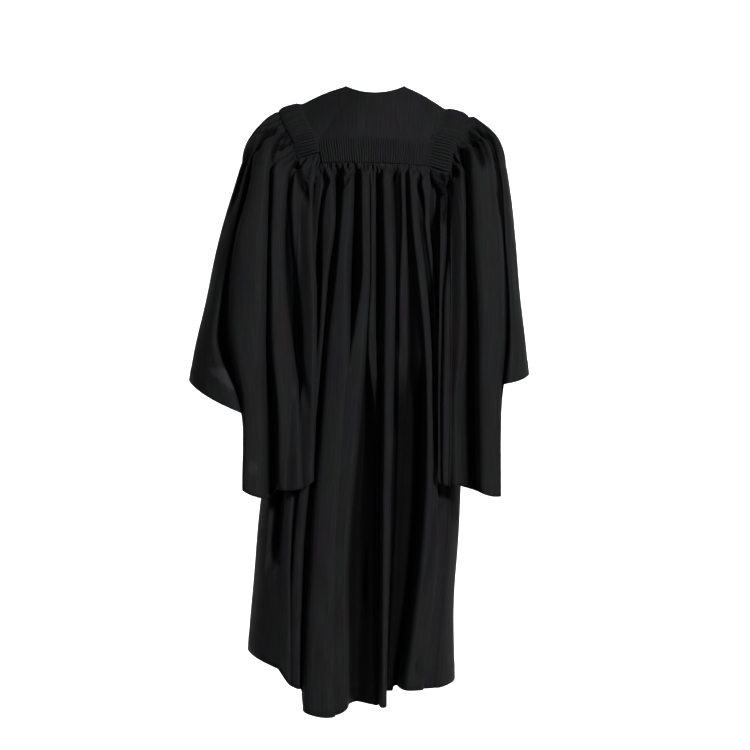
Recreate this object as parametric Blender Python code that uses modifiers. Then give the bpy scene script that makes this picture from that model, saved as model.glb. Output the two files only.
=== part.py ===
"""Open graduation gown, worn and hollow: yoke, gauged bands, back, fronts and bell sleeves.

Metres, +Z up.  The origin is at the base of the neck, the back faces +Y, and +X is the side of
the left sleeve.  Every cloth piece is a thin wall on a surface that is worked out from the
sections of the gown and from one row for each fold that hangs in it.
"""
from collections import namedtuple
import math

import bmesh
import bpy
import numpy as np
from mathutils import Vector

# Cloth
WALL = 0.0016            # thickness of every wall
SHARP = math.radians(60)
SEAM = 0.0005            # space between pieces at a straight seam
CURVED_SEAM = 0.0016     # and at a curved one
RIB = 0.0015             # how far a cartridge pleat stands out of its band
LAP = 0.0024             # how far the sleeve's lower seam lies out on the panels

# Yoke and bands
YOKE_HEM = -0.1155       # height of the back yoke's lower edge, at the middle
BAND_FOOT = -0.163       # height of the gauged band's lower edge, at the middle
BAND_TILT = 0.034        # both edges rise by this much per metre towards +X
BAND_RIBS = 45
BAND_TOP_OUT = {1: 0.1089, -1: 0.1068}     # upper corners of the band, from the middle
BAND_FOOT_OUT = {1: 0.1015, -1: 0.0995}    # lower corners
HEAD_DEPTH = 0.046       # width of the gauged sleeve head, from the seam outwards
HEAD_RIBS = 66
HEAD_SWELL = 0.002       # how far a head rounds out across its width
HEAD_SLANT = (0.945, -0.27)                # way its pleats run: outwards and down
HEAD_WRAP = 1.2          # how much they turn towards the shoulder line
HEAD_FOOT = {1: -0.1385, -1: -0.1655}      # height of its lower corner at the back
YOKE_FRONT = -0.130      # height of the yoke's front edge
YOKE_HEM_COLUMNS = 6     # columns of half the yoke along its lower edge at the back
YOKE_SEAM_COLUMNS = 14   # and along its seam with the sleeve
YOKE_ROWS = 5
HEART = 0.06, -0.15      # distance from the middle and height that a head rounds out from
YOKE_SWELL = 0.003       # how far the yoke rounds out between neck and seams
FRONT_GAP_TOP = 0.038    # half the space between the fronts at the yoke
FRONT_GAP_HEM = 0.062    # the same at the hem

# Trunk of the gown: a row for each height, with the reach to each side, back and front
Section = namedtuple("Section", "height left right back front")
TRUNK = (
    Section(-0.110, 0.150, -0.148, 0.115, -0.100),
    Section(-0.165, 0.155, -0.153, 0.127, -0.110),
    Section(-0.300, 0.168, -0.165, 0.140, -0.122),
    Section(-0.500, 0.188, -0.171, 0.152, -0.130),
    Section(-0.800, 0.2225, -0.166, 0.172, -0.140),
    Section(-1.000, 0.2405, -0.154, 0.186, -0.148),
    Section(-1.210, 0.2565, -0.1535, 0.200, -0.155),
)
TRUNK_SQUARE = 2.4       # 2 is an ellipse, more is squarer

# Armhole edge of the back (1) and of the fronts (-1): distance from the middle and height
ARMHOLE_OUT = {1: (0.1015, 0.122, 0.146, 0.166), -1: (0.120, 0.127, 0.135, 0.148, 0.166)}
ARMHOLE_HEIGHT = {1: (-0.163, -0.200, -0.250, -0.300), -1: (-0.130, -0.165, -0.205, -0.250, -0.300)}

# Neckline and armhole seam of the yoke, from the middle of the back round to the front
NECK = (
    (0.000, 0.062, -0.0190),
    (0.022, 0.057, -0.0165),
    (0.042, 0.035, -0.0080),
    (0.0575, 0.002, 0.0030),
    (0.060, -0.035, -0.0130),
    (0.054, -0.066, -0.0480),
    (0.046, -0.086, -0.0880),
)
NECK_TOP = 3             # row of the neckline that is level with the shoulders
SEAM_LEFT = (
    (0.1119, 0.090, -0.1110),
    (0.1200, 0.076, -0.0933),
    (0.1306, 0.055, -0.0730),
    (0.1396, 0.025, -0.0510),
    (0.1465, -0.005, -0.0320),
    (0.1440, -0.036, -0.0480),
    (0.1340, -0.060, -0.0850),
)
SEAM_RIGHT = (
    (-0.1098, 0.091, -0.1190),
    (-0.1178, 0.083, -0.1024),
    (-0.1290, 0.062, -0.0860),
    (-0.1380, 0.030, -0.0600),
    (-0.1400, -0.005, -0.0420),
    (-0.1390, -0.038, -0.0560),
    (-0.1310, -0.062, -0.0900),
)
SEAM_FRONT_OUT = 0.120   # distance from the middle of the yoke's front outer corners

# Folds: edges of each fold at the given heights, towards +X and towards -X, how much it lifts,
# and the height of the hem at both edges
Fold = namedtuple("Fold", "plus minus lift hem_plus hem_minus steps")
BACK_HEIGHTS = (-0.20, -0.27, -0.39, -0.50, -0.65, -0.88, -1.17)
NARROW = (0.03, 0.14, 0.5, 0.86, 0.97)
WIDE = (0.02, 0.10, 0.30, 0.5, 0.70, 0.90, 0.98)
BACK_FOLDS = (
    Fold((0.158, 0.165, 0.176, 0.188, 0.205, 0.230, 0.254),
         (0.135, 0.140, 0.154, 0.164, 0.178, 0.203, 0.218), 0.5, -1.101, -1.111, NARROW),
    Fold((0.115, 0.122, 0.140, 0.148, 0.158, 0.175, 0.180),
         (0.100, 0.108, 0.120, 0.130, 0.140, 0.158, 0.158), 0.7, -1.122, -1.151, NARROW),
    Fold((0.092, 0.101, 0.101, 0.107, 0.126, 0.152, 0.154),
         (0.079, 0.076, 0.091, 0.098, 0.112, 0.134, 0.141), 0.8, -1.152, -1.157, NARROW),
    Fold((0.061, 0.066, 0.078, 0.091, 0.102, 0.120, 0.134),
         (0.042, 0.044, 0.051, 0.047, 0.057, 0.070, 0.075), 1.0, -1.193, -1.202, WIDE),
    Fold((0.027, 0.027, 0.028, 0.0435, 0.055, 0.067, 0.073),
         (0.010, 0.010, 0.0095, 0.0170, 0.029, 0.049, 0.049), 0.9, -1.200, -1.187, NARROW),
    Fold((0.008, 0.008, 0.008, 0.0125, 0.0, -0.001, 0.0),
         (-0.001, 0.0, 0.001, 0.0, -0.009, -0.007, -0.006), 0.8, -1.189, -1.189, NARROW),
    Fold((-0.013, -0.014, -0.017, -0.015, -0.013, -0.010, -0.0085),
         (-0.031, -0.034, -0.038, -0.036, -0.035, -0.030, -0.0225), 1.0, -1.188, -1.186, NARROW),
    Fold((-0.049, -0.051, -0.046, -0.045, -0.047, -0.042, -0.027),
         (-0.057, -0.059, -0.061, -0.062, -0.059, -0.050, -0.036), 0.5, -1.158, -1.158, NARROW),
    Fold((-0.064, -0.067, -0.080, -0.091, -0.094, -0.083, -0.045),
         (-0.080, -0.084, -0.097, -0.106, -0.111, -0.118, -0.088), 1.0, -1.156, -1.155, WIDE),
    Fold((-0.086, -0.093, -0.108, -0.116, -0.121, -0.125, -0.096),
         (-0.108, -0.104, -0.116, -0.124, -0.129, -0.131, -0.106), 0.7, -1.155, -1.157, NARROW),
    Fold((-0.114, -0.112, -0.126, -0.132, -0.136, -0.136, -0.110),
         (-0.150, -0.163, -0.168, -0.171, -0.171, -0.163, -0.154), 0.8, -1.157, -1.138, WIDE),
)
HEM_SAG = 0.10           # how far a fold's hem dips between its edges, as a share of its width
HEM_SAG_WIDTH = 0.040    # folds wider than this dip no more

# Fronts: shares of the width for the folds, from the side seam to the opening
FRONT_SHARES = (0.24, 0.17, 0.23, 0.15, 0.21)
FRONT_HEIGHTS = (-0.13, -0.30, -0.60, -1.16)
FRONT_FOLD_FILL = 0.86   # share of each fold's room that the fold takes
FRONT_LIFT = 0.7
FRONT_HEM = -1.125

# Sleeves: a row for each height, from the edge next to the back out to the far edge
Tube = namedtuple("Tube", "height inner outer back front")
SLEEVE_HEIGHTS = (-0.15, -0.22, -0.30, -0.42, -0.50, -0.62, -0.79)
LEFT_TUBE = (
    Tube(-0.050, 0.108, 0.195, 0.060, -0.060),
    Tube(-0.100, 0.108, 0.241, 0.095, -0.085),
    Tube(-0.150, 0.111, 0.260, 0.122, -0.100),
    Tube(-0.220, 0.118, 0.280, 0.145, -0.108),
    Tube(-0.300, 0.117, 0.303, 0.160, -0.114),
    Tube(-0.420, 0.111, 0.329, 0.172, -0.120),
    Tube(-0.580, 0.111, 0.362, 0.184, -0.125),
    Tube(-0.800, 0.116, 0.380, 0.196, -0.125),
)
RIGHT_TUBE = (
    Tube(-0.050, 0.104, 0.178, 0.060, -0.060),
    Tube(-0.100, 0.104, 0.238, 0.095, -0.085),
    Tube(-0.150, 0.112, 0.254, 0.122, -0.100),
    Tube(-0.220, 0.123, 0.265, 0.145, -0.108),
    Tube(-0.300, 0.124, 0.272, 0.160, -0.114),
    Tube(-0.420, 0.122, 0.2825, 0.172, -0.120),
    Tube(-0.580, 0.120, 0.3005, 0.184, -0.125),
    Tube(-0.800, 0.119, 0.308, 0.196, -0.125),
)
TUBE_SQUARE = 2.3
LEFT_FOLDS = (
    Fold((0.260, 0.280, 0.303, 0.329, 0.345, 0.368, 0.380),
         (0.236, 0.253, 0.268, 0.292, 0.301, 0.254, 0.250), 0.8, -0.576, -0.640, WIDE),
    Fold((0.232, 0.240, 0.262, 0.274, 0.274, 0.249, 0.2475),
         (0.200, 0.202, 0.203, 0.205, 0.206, 0.205, 0.203), 1.0, -0.783, -0.799, WIDE),
    Fold((0.196, 0.196, 0.198, 0.198, 0.198, 0.187, 0.184),
         (0.158, 0.168, 0.172, 0.168, 0.158, 0.142, 0.134), 0.9, -0.783, -0.781, NARROW),
    Fold((0.146, 0.160, 0.158, 0.145, 0.138, 0.140, 0.132),
         (0.111, 0.118, 0.117, 0.111, 0.109, 0.112, 0.116), 0.7, -0.779, -0.768, NARROW),
)
RIGHT_FOLDS = (
    Fold((0.254, 0.265, 0.272, 0.2825, 0.290, 0.302, 0.308),
         (0.236, 0.245, 0.247, 0.254, 0.254, 0.238, 0.2365), 0.7, -0.566, -0.586, NARROW),
    Fold((0.228, 0.232, 0.240, 0.2435, 0.243, 0.2345, 0.234),
         (0.176, 0.178, 0.180, 0.186, 0.188, 0.190, 0.193), 1.0, -0.795, -0.786, WIDE),
    Fold((0.168, 0.172, 0.172, 0.170, 0.168, 0.158, 0.158),
         (0.140, 0.142, 0.142, 0.130, 0.128, 0.126, 0.126), 0.9, -0.776, -0.774, NARROW),
    Fold((0.132, 0.133, 0.133, 0.126, 0.123, 0.121, 0.121),
         (0.112, 0.123, 0.124, 0.122, 0.120, 0.118, 0.119), 0.3, -0.772, -0.766, NARROW),
)
HIDDEN_COLUMNS = 18      # columns round the hidden side of a sleeve
HIDDEN_FOLDS = 4         # soft folds round that side
HIDDEN_RISE = 0.006
HIDDEN_FROM = 0.3        # share of that side, next to the trunk, that stays plain
HEM_TURN = 0.25          # share of that side over which the hem stays at its outer height
LOOP_STEPS = 24          # steps in working out that side's half round
INNER_CLEAR = 0.022      # from the trunk's section to the sleeve's inner layer
OUTER_CLEAR = 0.044      # and to its outer layer
SLEEVE_GROW = 0.120      # length below the seam over which the outer layer comes off the trunk

# Distances from the middle of the points that a sleeve's lower seam runs through
UNDERARM_OUT = {1: (0.106, 0.120, 0.132, 0.146, 0.158, 0.166),
                -1: (0.123, 0.130, 0.138, 0.148, 0.158, 0.166)}

# Cap of a sleeve: how it leaves its seam (outwards, backwards, up), low down and on the shoulder
LEAVE_LOW = (0.25, 0.40, -0.85)
LEAVE_TOP = (0.95, 0.00, -0.35)
CAP_DROP = 0.055         # height of the cap low down
CAP_DROP_MORE = 0.045    # and what the shoulder adds to it
SHOULDER_FROM = -0.140   # height at which the shoulder begins to count
SHOULDER_OVER = 0.090    # and over which it comes to count in full

# How folds stand out
FOLD_RISE = 0.0042       # rise of a fold 1 mm wide, growing with the root of its width
FOLD_STEEP = 1.0         # greatest rise as a share of the width
VALLEY_GAP = 0.004       # space between two folds at which the valley is at its full depth
VALLEY_SINK = 0.25       # how far a full valley goes in behind the section, as a share
VALLEY_LEAST = 0.002     # least space between two folds
VALLEY_SHUT = 0.15       # depth of a valley where two folds touch, as a share of their rise
FOLD_GROW = 0.050        # length below the top edge over which folds come up
SIDE_PUSH = 0.3          # how much of a fold's rise goes sideways where the wall faces sideways
ROW_CLOSING = 1.25       # above 1, rows lie closer together near the top

BACK_ROWS = 13
FRONT_ROWS = 9
CAP_ROWS = 3             # rows of a sleeve between its seam and where it hangs free
HANG_ROWS = 9


def clamp(value, low, high):
    return min(max(value, low), high)


def ease(share):
    """0 to 1, with a soft start and end."""
    share = clamp(share, 0.0, 1.0)
    return share * share * (3.0 - 2.0 * share)


def read(stations, values, at):
    """Smooth curve through values that are given at falling heights."""
    falling = np.array(stations[::-1], dtype=float)
    ordered = np.array(values[::-1], dtype=float)
    at = clamp(at, falling[0], falling[-1])
    index = clamp(int(np.searchsorted(falling, at)) - 1, 0, len(falling) - 2)
    slopes = np.gradient(ordered, falling)
    span = falling[index + 1] - falling[index]
    t = (at - falling[index]) / span
    before, after = ordered[index], ordered[index + 1]
    rise_in, rise_out = slopes[index] * span, slopes[index + 1] * span
    bend = 2 * (before - after) + rise_in + rise_out
    sway = 3 * (after - before) - 2 * rise_in - rise_out
    return float(((bend * t + sway) * t + rise_in) * t + before)


def read_rows(rows, height):
    """A row of the table at any height, with every named column but the first read smoothly."""
    heights = [row.height for row in rows]
    columns = list(zip(*rows))[1:]
    return [read(heights, column, height) for column in columns]


def curve_through(points, count):
    """Evenly spaced points on a smooth curve through the given ones."""
    points = [Vector(point) for point in points]
    padded = [2 * points[0] - points[1]] + points + [2 * points[-1] - points[-2]]
    fine = []
    for i in range(1, len(padded) - 2):
        p0, p1, p2, p3 = padded[i - 1:i + 3]
        for step in range(8):
            t = step / 8
            fine.append(0.5 * (2 * p1 + (p2 - p0) * t + (2 * p0 - 5 * p1 + 4 * p2 - p3) * t * t
                               + (3 * p1 - p0 - 3 * p2 + p3) * t ** 3))
    fine.append(points[-1])
    return spaced(fine, count)


def spaced(points, count):
    """Evenly spaced points along a polyline."""
    lengths = [0.0]
    for before, after in zip(points, points[1:]):
        lengths.append(lengths[-1] + (after - before).length)
    coordinates = np.array([tuple(point) for point in points])
    marks = np.linspace(0.0, lengths[-1], count)
    return [Vector(np.interp(mark, lengths, coordinates[:, axis]) for axis in range(3))
            for mark in marks]


def spaced_joined(lines, count):
    """Points along joined lines, spread by length, with one at every joint."""
    lengths = [sum((after - before).length for before, after in zip(line, line[1:])) for line in lines]
    steps = [max(1, round((count - 1) * length / sum(lengths))) for length in lengths]
    steps[lengths.index(max(lengths))] += count - 1 - sum(steps)
    points = []
    for line, step in zip(lines, steps):
        points += spaced(line, step + 1)[:-1]
    return points + [lines[-1][-1]]


def trunk_place(x, height, facing):
    """Point of the trunk's back (facing 1) or front (facing -1) at x, and the way out from it."""
    left, right, back, front = read_rows(TRUNK, height)
    middle, half = (left + right) / 2, (left - right) / 2
    reach = back if facing > 0 else -front
    across = clamp((x - middle) / half, -1.0, 1.0)
    depth = (1.0 - abs(across) ** TRUNK_SQUARE) ** (1.0 / TRUNK_SQUARE)
    slope = abs(across) ** (TRUNK_SQUARE - 1) / half
    normal = Vector((math.copysign(slope, across), facing * depth ** (TRUNK_SQUARE - 1) / reach, 0.0))
    return Vector((middle + across * half, facing * reach * depth, height)), normal.normalized()


def trunk_skin(x, height, facing, out=0.0):
    """Point of the trunk at x, moved out by out."""
    point, normal = trunk_place(x, height, facing)
    return point + normal * out


def trunk_side(side, height):
    """Distance of the trunk's side seam from the middle."""
    left, right, _, _ = read_rows(TRUNK, height)
    return left if side > 0 else -right


def clear_of_trunk(point, height, clear):
    """The point, moved out from the trunk's middle where it lies nearer to it than clear."""
    left, right, back, front = read_rows(TRUNK, height)
    middle, half = (left + right) / 2, (left - right) / 2 + clear
    reach = (back if point.y > 0 else -front) + clear
    inside = (abs((point.x - middle) / half) ** TRUNK_SQUARE + abs(point.y / reach) ** TRUNK_SQUARE)
    scale = max(1.0, max(inside, 1e-6) ** (-1.0 / TRUNK_SQUARE))
    return Vector((middle + (point.x - middle) * scale, point.y * scale, height))


def armhole_height(x, facing):
    """Height of the armhole edge of the back (facing 1) or of a front (facing -1)."""
    return float(np.interp(abs(x), ARMHOLE_OUT[facing], ARMHOLE_HEIGHT[facing])) + BAND_TILT * x


def fold_rise(width, lift):
    return lift * min(FOLD_RISE * math.sqrt(width * 1000.0), FOLD_STEEP * width)


def fold_round(share):
    """Height of a fold across its width, as a share of its rise: round top, steep sides."""
    return math.sqrt(1.0 - abs(2.0 * share - 1.0) ** 3)


def fold_edges(folds, heights, height, ends):
    """Both edges of every fold at one height, never nearer to each other than a least valley.

    ends gives the places of the panel's own two edges, or None where the folds' rows give them.
    """
    edges = [[read(heights, fold.plus, height), read(heights, fold.minus, height)] for fold in folds]
    if ends[0] is not None:
        edges[0][0] = ends[0]
    if ends[1] is not None:
        edges[-1][1] = ends[1]
    for here, there in zip(edges, edges[1:]):
        if here[1] - there[0] < VALLEY_LEAST:
            middle = (here[1] + there[0]) / 2
            here[1], there[0] = middle + VALLEY_LEAST / 2, middle - VALLEY_LEAST / 2
    return edges


def fold_columns(folds, heights, height, ends):
    """Place across and rise of every column of a folded panel at one height."""
    edges = fold_edges(folds, heights, height, ends)
    rises = [fold_rise(plus - minus, fold.lift) for (plus, minus), fold in zip(edges, folds)]
    valleys = [(edges[0][0], 0.0)]
    for number in range(len(folds) - 1):
        gap = edges[number][1] - edges[number + 1][0]
        openness = ease((gap - VALLEY_LEAST) / VALLEY_GAP)
        depth = VALLEY_SHUT + (1.0 + VALLEY_SINK - VALLEY_SHUT) * openness
        floor = min(rises[number], rises[number + 1]) * (1.0 - depth)
        valleys.append(((edges[number][1] + edges[number + 1][0]) / 2, floor))
    valleys.append((edges[-1][1], 0.0))
    columns = []
    for number, fold in enumerate(folds):
        columns.append(valleys[number])
        plus, minus = edges[number]
        for share in fold.steps:
            floor = valleys[number if share < 0.5 else number + 1][1]
            columns.append((plus + (minus - plus) * share, max(rises[number] * fold_round(share), floor)))
    return columns + [valleys[-1]]


def fold_hems(folds):
    """Height of the hem at every column; a valley takes the shorter of its two neighbours."""
    hems = [folds[0].hem_plus]
    for number, fold in enumerate(folds):
        dip = 4.0 * HEM_SAG * min(fold.plus[-1] - fold.minus[-1], HEM_SAG_WIDTH)
        hems += [fold.hem_plus + (fold.hem_minus - fold.hem_plus) * share - dip * share * (1 - share)
                 for share in fold.steps]
        if number + 1 < len(folds):
            hems.append(max(fold.hem_minus, folds[number + 1].hem_plus))
    return hems + [folds[-1].hem_minus]


def cloth_material(name):
    material = bpy.data.materials.new(name)
    material.use_nodes = True
    shader = material.node_tree.nodes["Principled BSDF"]
    shader.inputs["Base Color"].default_value = (0.012, 0.012, 0.014, 1.0)
    shader.inputs["Roughness"].default_value = 0.75
    shader.inputs["Metallic"].default_value = 0.0
    return material


def add_piece(name, points, faces, wall=None):
    """One named object in the gown's collection; wall makes an open surface into cloth."""
    mesh = bpy.data.meshes.new(name)
    mesh.from_pydata([tuple(point) for point in points], [], faces)
    shaper = bmesh.new()
    shaper.from_mesh(mesh)
    bmesh.ops.recalc_face_normals(shaper, faces=shaper.faces)
    shaper.to_mesh(mesh)
    shaper.free()
    mesh.shade_smooth()
    mesh.set_sharp_from_angle(angle=SHARP)
    mesh.materials.append(cloth_material(name + "_cloth"))
    piece = bpy.data.objects.new(name, mesh)
    GOWN.objects.link(piece)
    if wall:
        thickness = piece.modifiers.new("wall", "SOLIDIFY")
        thickness.thickness = wall
        thickness.offset = 0.0
    return piece


def sheet_faces(rows, columns, closed, start=0):
    """Quads of a grid, row by row, closed round when it is a tube."""
    faces = []
    for row in range(rows - 1):
        for column in range(columns if closed else columns - 1):
            following = (column + 1) % columns
            first, second = start + row * columns, start + (row + 1) * columns
            faces.append((first + column, first + following, second + following, second + column))
    return faces


def add_sheet(name, rows, closed=False):
    points = [point for row in rows for point in row]
    return add_piece(name, points, sheet_faces(len(rows), len(rows[0]), closed), WALL)


def add_ribbed(name, plain, ribbed):
    """Closed wall between a plain inner grid and a ribbed outer grid of the same size."""
    rows, columns = len(plain), len(plain[0])
    points = [point for grid in (ribbed, plain) for row in grid for point in row]
    inner = rows * columns
    faces = sheet_faces(rows, columns, False)
    faces += [face[::-1] for face in sheet_faces(rows, columns, False, inner)]
    rim = [(0, column) for column in range(columns)]
    rim += [(row, columns - 1) for row in range(1, rows)]
    rim += [(rows - 1, column) for column in range(columns - 2, -1, -1)]
    rim += [(row, 0) for row in range(rows - 2, 0, -1)]
    marks = [row * columns + column for row, column in rim]
    for here, there in zip(marks, marks[1:] + marks[:1]):
        faces.append((there, here, inner + here, inner + there))
    return add_piece(name, points, faces)


def band_edge(x, middle_height):
    return middle_height + BAND_TILT * x


def yoke_half(side, seam):
    """Neckline and outer edge of one half of the yoke, both from the middle of the back."""
    corner = seam[0]
    hem = [corner[0] * step / YOKE_HEM_COLUMNS for step in range(YOKE_HEM_COLUMNS)]
    bottom = [trunk_skin(x, band_edge(x, YOKE_HEM), 1) for x in hem]
    front_corner = tuple(trunk_skin(side * SEAM_FRONT_OUT, YOKE_FRONT, -1))
    whole_seam = curve_through(list(seam) + [front_corner], YOKE_SEAM_COLUMNS)
    top = min(range(YOKE_SEAM_COLUMNS), key=lambda number: abs(whole_seam[number].y))
    neck_end = tuple(trunk_skin(side * FRONT_GAP_TOP, YOKE_FRONT, -1))
    neck = [(side * x, y, z) for x, y, z in NECK] + [neck_end]
    behind = curve_through(neck[:NECK_TOP + 1], YOKE_HEM_COLUMNS + top + 1)
    before = curve_through(neck[NECK_TOP:], YOKE_SEAM_COLUMNS - top)
    return behind + before[1:], bottom + whole_seam


def make_yoke():
    neck_left, outer_left = yoke_half(1, SEAM_LEFT)
    neck_right, outer_right = yoke_half(-1, SEAM_RIGHT)
    neck = neck_left[::-1] + neck_right[1:]
    outer = outer_left[::-1] + outer_right[1:]
    heart = Vector((0.0, 0.0, HEART[1]))
    rows = []
    for number in range(YOKE_ROWS):
        share = number / (YOKE_ROWS - 1)
        row = []
        for inner_point, outer_point in zip(neck, outer):
            point = inner_point.lerp(outer_point, share)
            swell = YOKE_SWELL * math.sin(math.pi * share)
            row.append(point + (point - heart).normalized() * swell)
        rows.append(row)
    add_sheet("yoke", rows)


def rib_rise(column):
    """Every other column is the top of a pleat."""
    return RIB if column % 2 else 0.0


def make_back_gauging():
    columns = 2 * BAND_RIBS + 1
    plain, ribbed = [], []
    for middle_height, out, inset in ((YOKE_HEM, BAND_TOP_OUT, -SEAM), (BAND_FOOT, BAND_FOOT_OUT, 0.0)):
        spread = [out[1] - (out[1] + out[-1]) * column / (columns - 1) for column in range(columns)]
        plain.append([trunk_skin(x, band_edge(x, middle_height) + inset, 1, -WALL / 2)
                      for x in spread])
        ribbed.append([trunk_skin(x, band_edge(x, middle_height) + inset, 1, WALL / 2 + rib_rise(i))
                       for i, x in enumerate(spread)])
    add_ribbed("back_gauging", plain, ribbed)


def back_top(x):
    """Top edge of the back: under the band, then down the armhole."""
    if abs(x) < ARMHOLE_OUT[1][0]:
        return band_edge(x, BAND_FOOT) - SEAM
    return armhole_height(x, 1) - SEAM


def hung_panel(name, folds, heights, top, facing, row_count, seams):
    """Folded panel that hangs on the trunk's section from a top edge to its hem.

    seams gives the side seam (1 or -1) that the first and the last column lie on, or None.
    """

    def column_at(number, height):
        ends = [side and side * trunk_side(side, height) for side in seams]
        return fold_columns(folds, heights, height, ends)[number]

    columns = []
    for number, hem in enumerate(fold_hems(folds)):
        high = top(column_at(number, heights[0])[0])
        for _ in range(4):
            high = top(column_at(number, high)[0])
        column = []
        for row in range(row_count):
            height = high + (hem - high) * (row / (row_count - 1)) ** ROW_CLOSING
            x, rise = column_at(number, height)
            point, out = trunk_place(x, height, facing)
            grown = rise * ease((high - height) / FOLD_GROW)
            point += Vector((out.x * SIDE_PUSH, out.y, 0.0)) * grown
            if facing < 0:
                point.y -= SEAM
            column.append(point)
        columns.append(column)
    rows = [list(row) for row in zip(*columns)]
    add_sheet(name, rows)


def front_top(x):
    """Top edge of a front: along the yoke's front edge, then down the armhole."""
    if abs(x) < SEAM_FRONT_OUT:
        return YOKE_FRONT - SEAM
    return min(YOKE_FRONT, armhole_height(x, -1)) - SEAM


def front_edge(side, share, height):
    """Place across at a share of a front's width, from its side seam (0) to its opening (1)."""
    seam = trunk_side(side, height)
    down = (FRONT_HEIGHTS[0] - height) / (FRONT_HEIGHTS[0] - FRONT_HEIGHTS[-1])
    opening = FRONT_GAP_TOP + (FRONT_GAP_HEM - FRONT_GAP_TOP) * down
    return side * (seam + (opening - seam) * share)


def front_folds(side):
    """Folds of one front from +X to -X, worked out from their shares of its width."""
    side_hem = BACK_FOLDS[0].hem_plus if side > 0 else BACK_FOLDS[-1].hem_minus
    shares = [sum(FRONT_SHARES[:number]) for number in range(len(FRONT_SHARES) + 1)]
    folds = []
    for number, (near, far) in enumerate(zip(shares, shares[1:])):
        room = (far - near) * (1.0 - FRONT_FOLD_FILL) / 2
        ends = (near + room if number else 0.0, far - room if number + 1 < len(FRONT_SHARES) else 1.0)
        edges = [tuple(front_edge(side, end, height) for height in FRONT_HEIGHTS) for end in ends]
        hems = [side_hem + (FRONT_HEM - side_hem) * ease(2 * end) for end in ends]
        if side < 0:
            edges.reverse()
            hems.reverse()
        folds.append(Fold(edges[0], edges[1], FRONT_LIFT, hems[0], hems[1], NARROW))
    return tuple(folds[::side])


def band_side(side, height):
    """Distance of the gauged band's side edge from the middle."""
    share = clamp((height - YOKE_HEM) / (BAND_FOOT - YOKE_HEM), 0.0, 1.0)
    return BAND_TOP_OUT[side] + (BAND_FOOT_OUT[side] - BAND_TOP_OUT[side]) * share


def head_edges(side, seam):
    """Inner and outer edge of a gauged sleeve head, from the back over the shoulder."""
    foot = HEAD_FOOT[side]
    under_back = trunk_skin(side * (band_side(side, foot) + SEAM), foot, 1)
    under_front = trunk_skin(side * (SEAM_FRONT_OUT + 2 * SEAM), YOKE_FRONT, -1)
    inner = curve_through([tuple(under_back)] + list(seam) + [tuple(under_front)], 2 * HEAD_RIBS + 1)
    outward, down = HEAD_SLANT
    outer = [point + HEAD_DEPTH * Vector((side * outward, -HEAD_WRAP * point.y, down)) for point in inner]
    return inner, outer


def make_head(side, seam, name):
    inner, outer = head_edges(side, seam)
    heart = Vector((side * HEART[0], 0.0, HEART[1]))
    gap = Vector((side * CURVED_SEAM, 0.0, 0.0))
    plain, ribbed = [], []
    for share in (0.0, 0.5, 1.0):
        plain_row, ribbed_row = [], []
        for i, (near, far) in enumerate(zip(inner, outer)):
            point = (near + gap).lerp(far, share)
            outward = (point - heart).normalized()
            point = point + outward * HEAD_SWELL * math.sin(math.pi * share)
            plain_row.append(point - outward * WALL / 2)
            ribbed_row.append(point + outward * (WALL / 2 + rib_rise(i)))
        plain.append(plain_row)
        ribbed.append(ribbed_row)
    add_ribbed(name, plain, ribbed)


def sleeve_seam(side, seam, shown_count):
    """Start of every column of a sleeve: along its gauged head and the band, then the armhole."""
    inner, outer = head_edges(side, seam)
    outward = CURVED_SEAM * Vector((side, 0.0, 0.0))
    edge = [point + outward for point in outer]
    top = min(range(len(outer)), key=lambda number: abs(outer[number].y))
    feet = []
    for last, before in ((0, 1), (-1, -2)):
        along = CURVED_SEAM * (outer[last] - outer[before]).normalized()
        feet.append([edge[last] + along] + [outer[last].lerp(inner[last], share) + along for share in (0.4, 0.9)])
    foot = band_edge(side * BAND_FOOT_OUT[side], BAND_FOOT)
    beside_band = [feet[0][-1]] + [trunk_skin(side * (band_side(side, height) + CURVED_SEAM), height, 1, LAP)
                                   for height in (foot, (foot + HEAD_FOOT[side]) / 2)][::-1]
    shown = [edge[top:0:-1] + feet[0][:1], feet[0], beside_band]
    armhole = {facing: [trunk_skin(side * x, armhole_height(side * x, facing), facing, LAP)
                        for x in UNDERARM_OUT[facing]] for facing in (1, -1)}
    low = armhole_height(side * UNDERARM_OUT[1][-1], 1)
    underarm = Vector((side * (trunk_side(side, low) + LAP), 0.0, low))
    unseen = [beside_band[-1:] + armhole[1] + [underarm], [underarm] + armhole[-1][::-1] + feet[1][2:],
              feet[1][::-1], feet[1][:1] + edge[-2:top - 1:-1]]
    return spaced_joined(shown, shown_count) + spaced_joined(unseen, HIDDEN_COLUMNS + 2)[1:-1]


def hidden_loop(side, tube_row, height, edge_in, edge_out, clear):
    """Far side of a sleeve at one height, from the edge next to the back to the far edge."""
    inner, outer, back, front = tube_row
    middle, half = (inner + outer) / 2, (outer - inner) / 2
    centre, depth = (back + front) / 2, (back - front) / 2
    path = [edge_in.lerp(Vector((side * inner, centre, height)), step / LOOP_STEPS)
            for step in range(LOOP_STEPS)]
    for step in range(LOOP_STEPS + 1):
        turn = math.pi - math.pi * step / LOOP_STEPS
        across, down = [math.copysign(abs(part) ** (2 / TUBE_SQUARE), part)
                        for part in (math.cos(turn), math.sin(turn))]
        path.append(Vector((side * (middle + half * across), centre - depth * down, height)))
    path = [clear_of_trunk(point, height, clear) for point in path]
    path[-1] = edge_out
    loop = spaced(path, HIDDEN_COLUMNS + 2)[1:-1]
    heart = Vector((side * middle, centre, height))
    for number, point in enumerate(loop):
        share = number / HIDDEN_COLUMNS
        wave = math.sin(math.pi * HIDDEN_FOLDS * share) ** 2 * ease(2 * (share - HIDDEN_FROM))
        point += (point - heart).normalized() * HIDDEN_RISE * wave
    return loop


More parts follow.
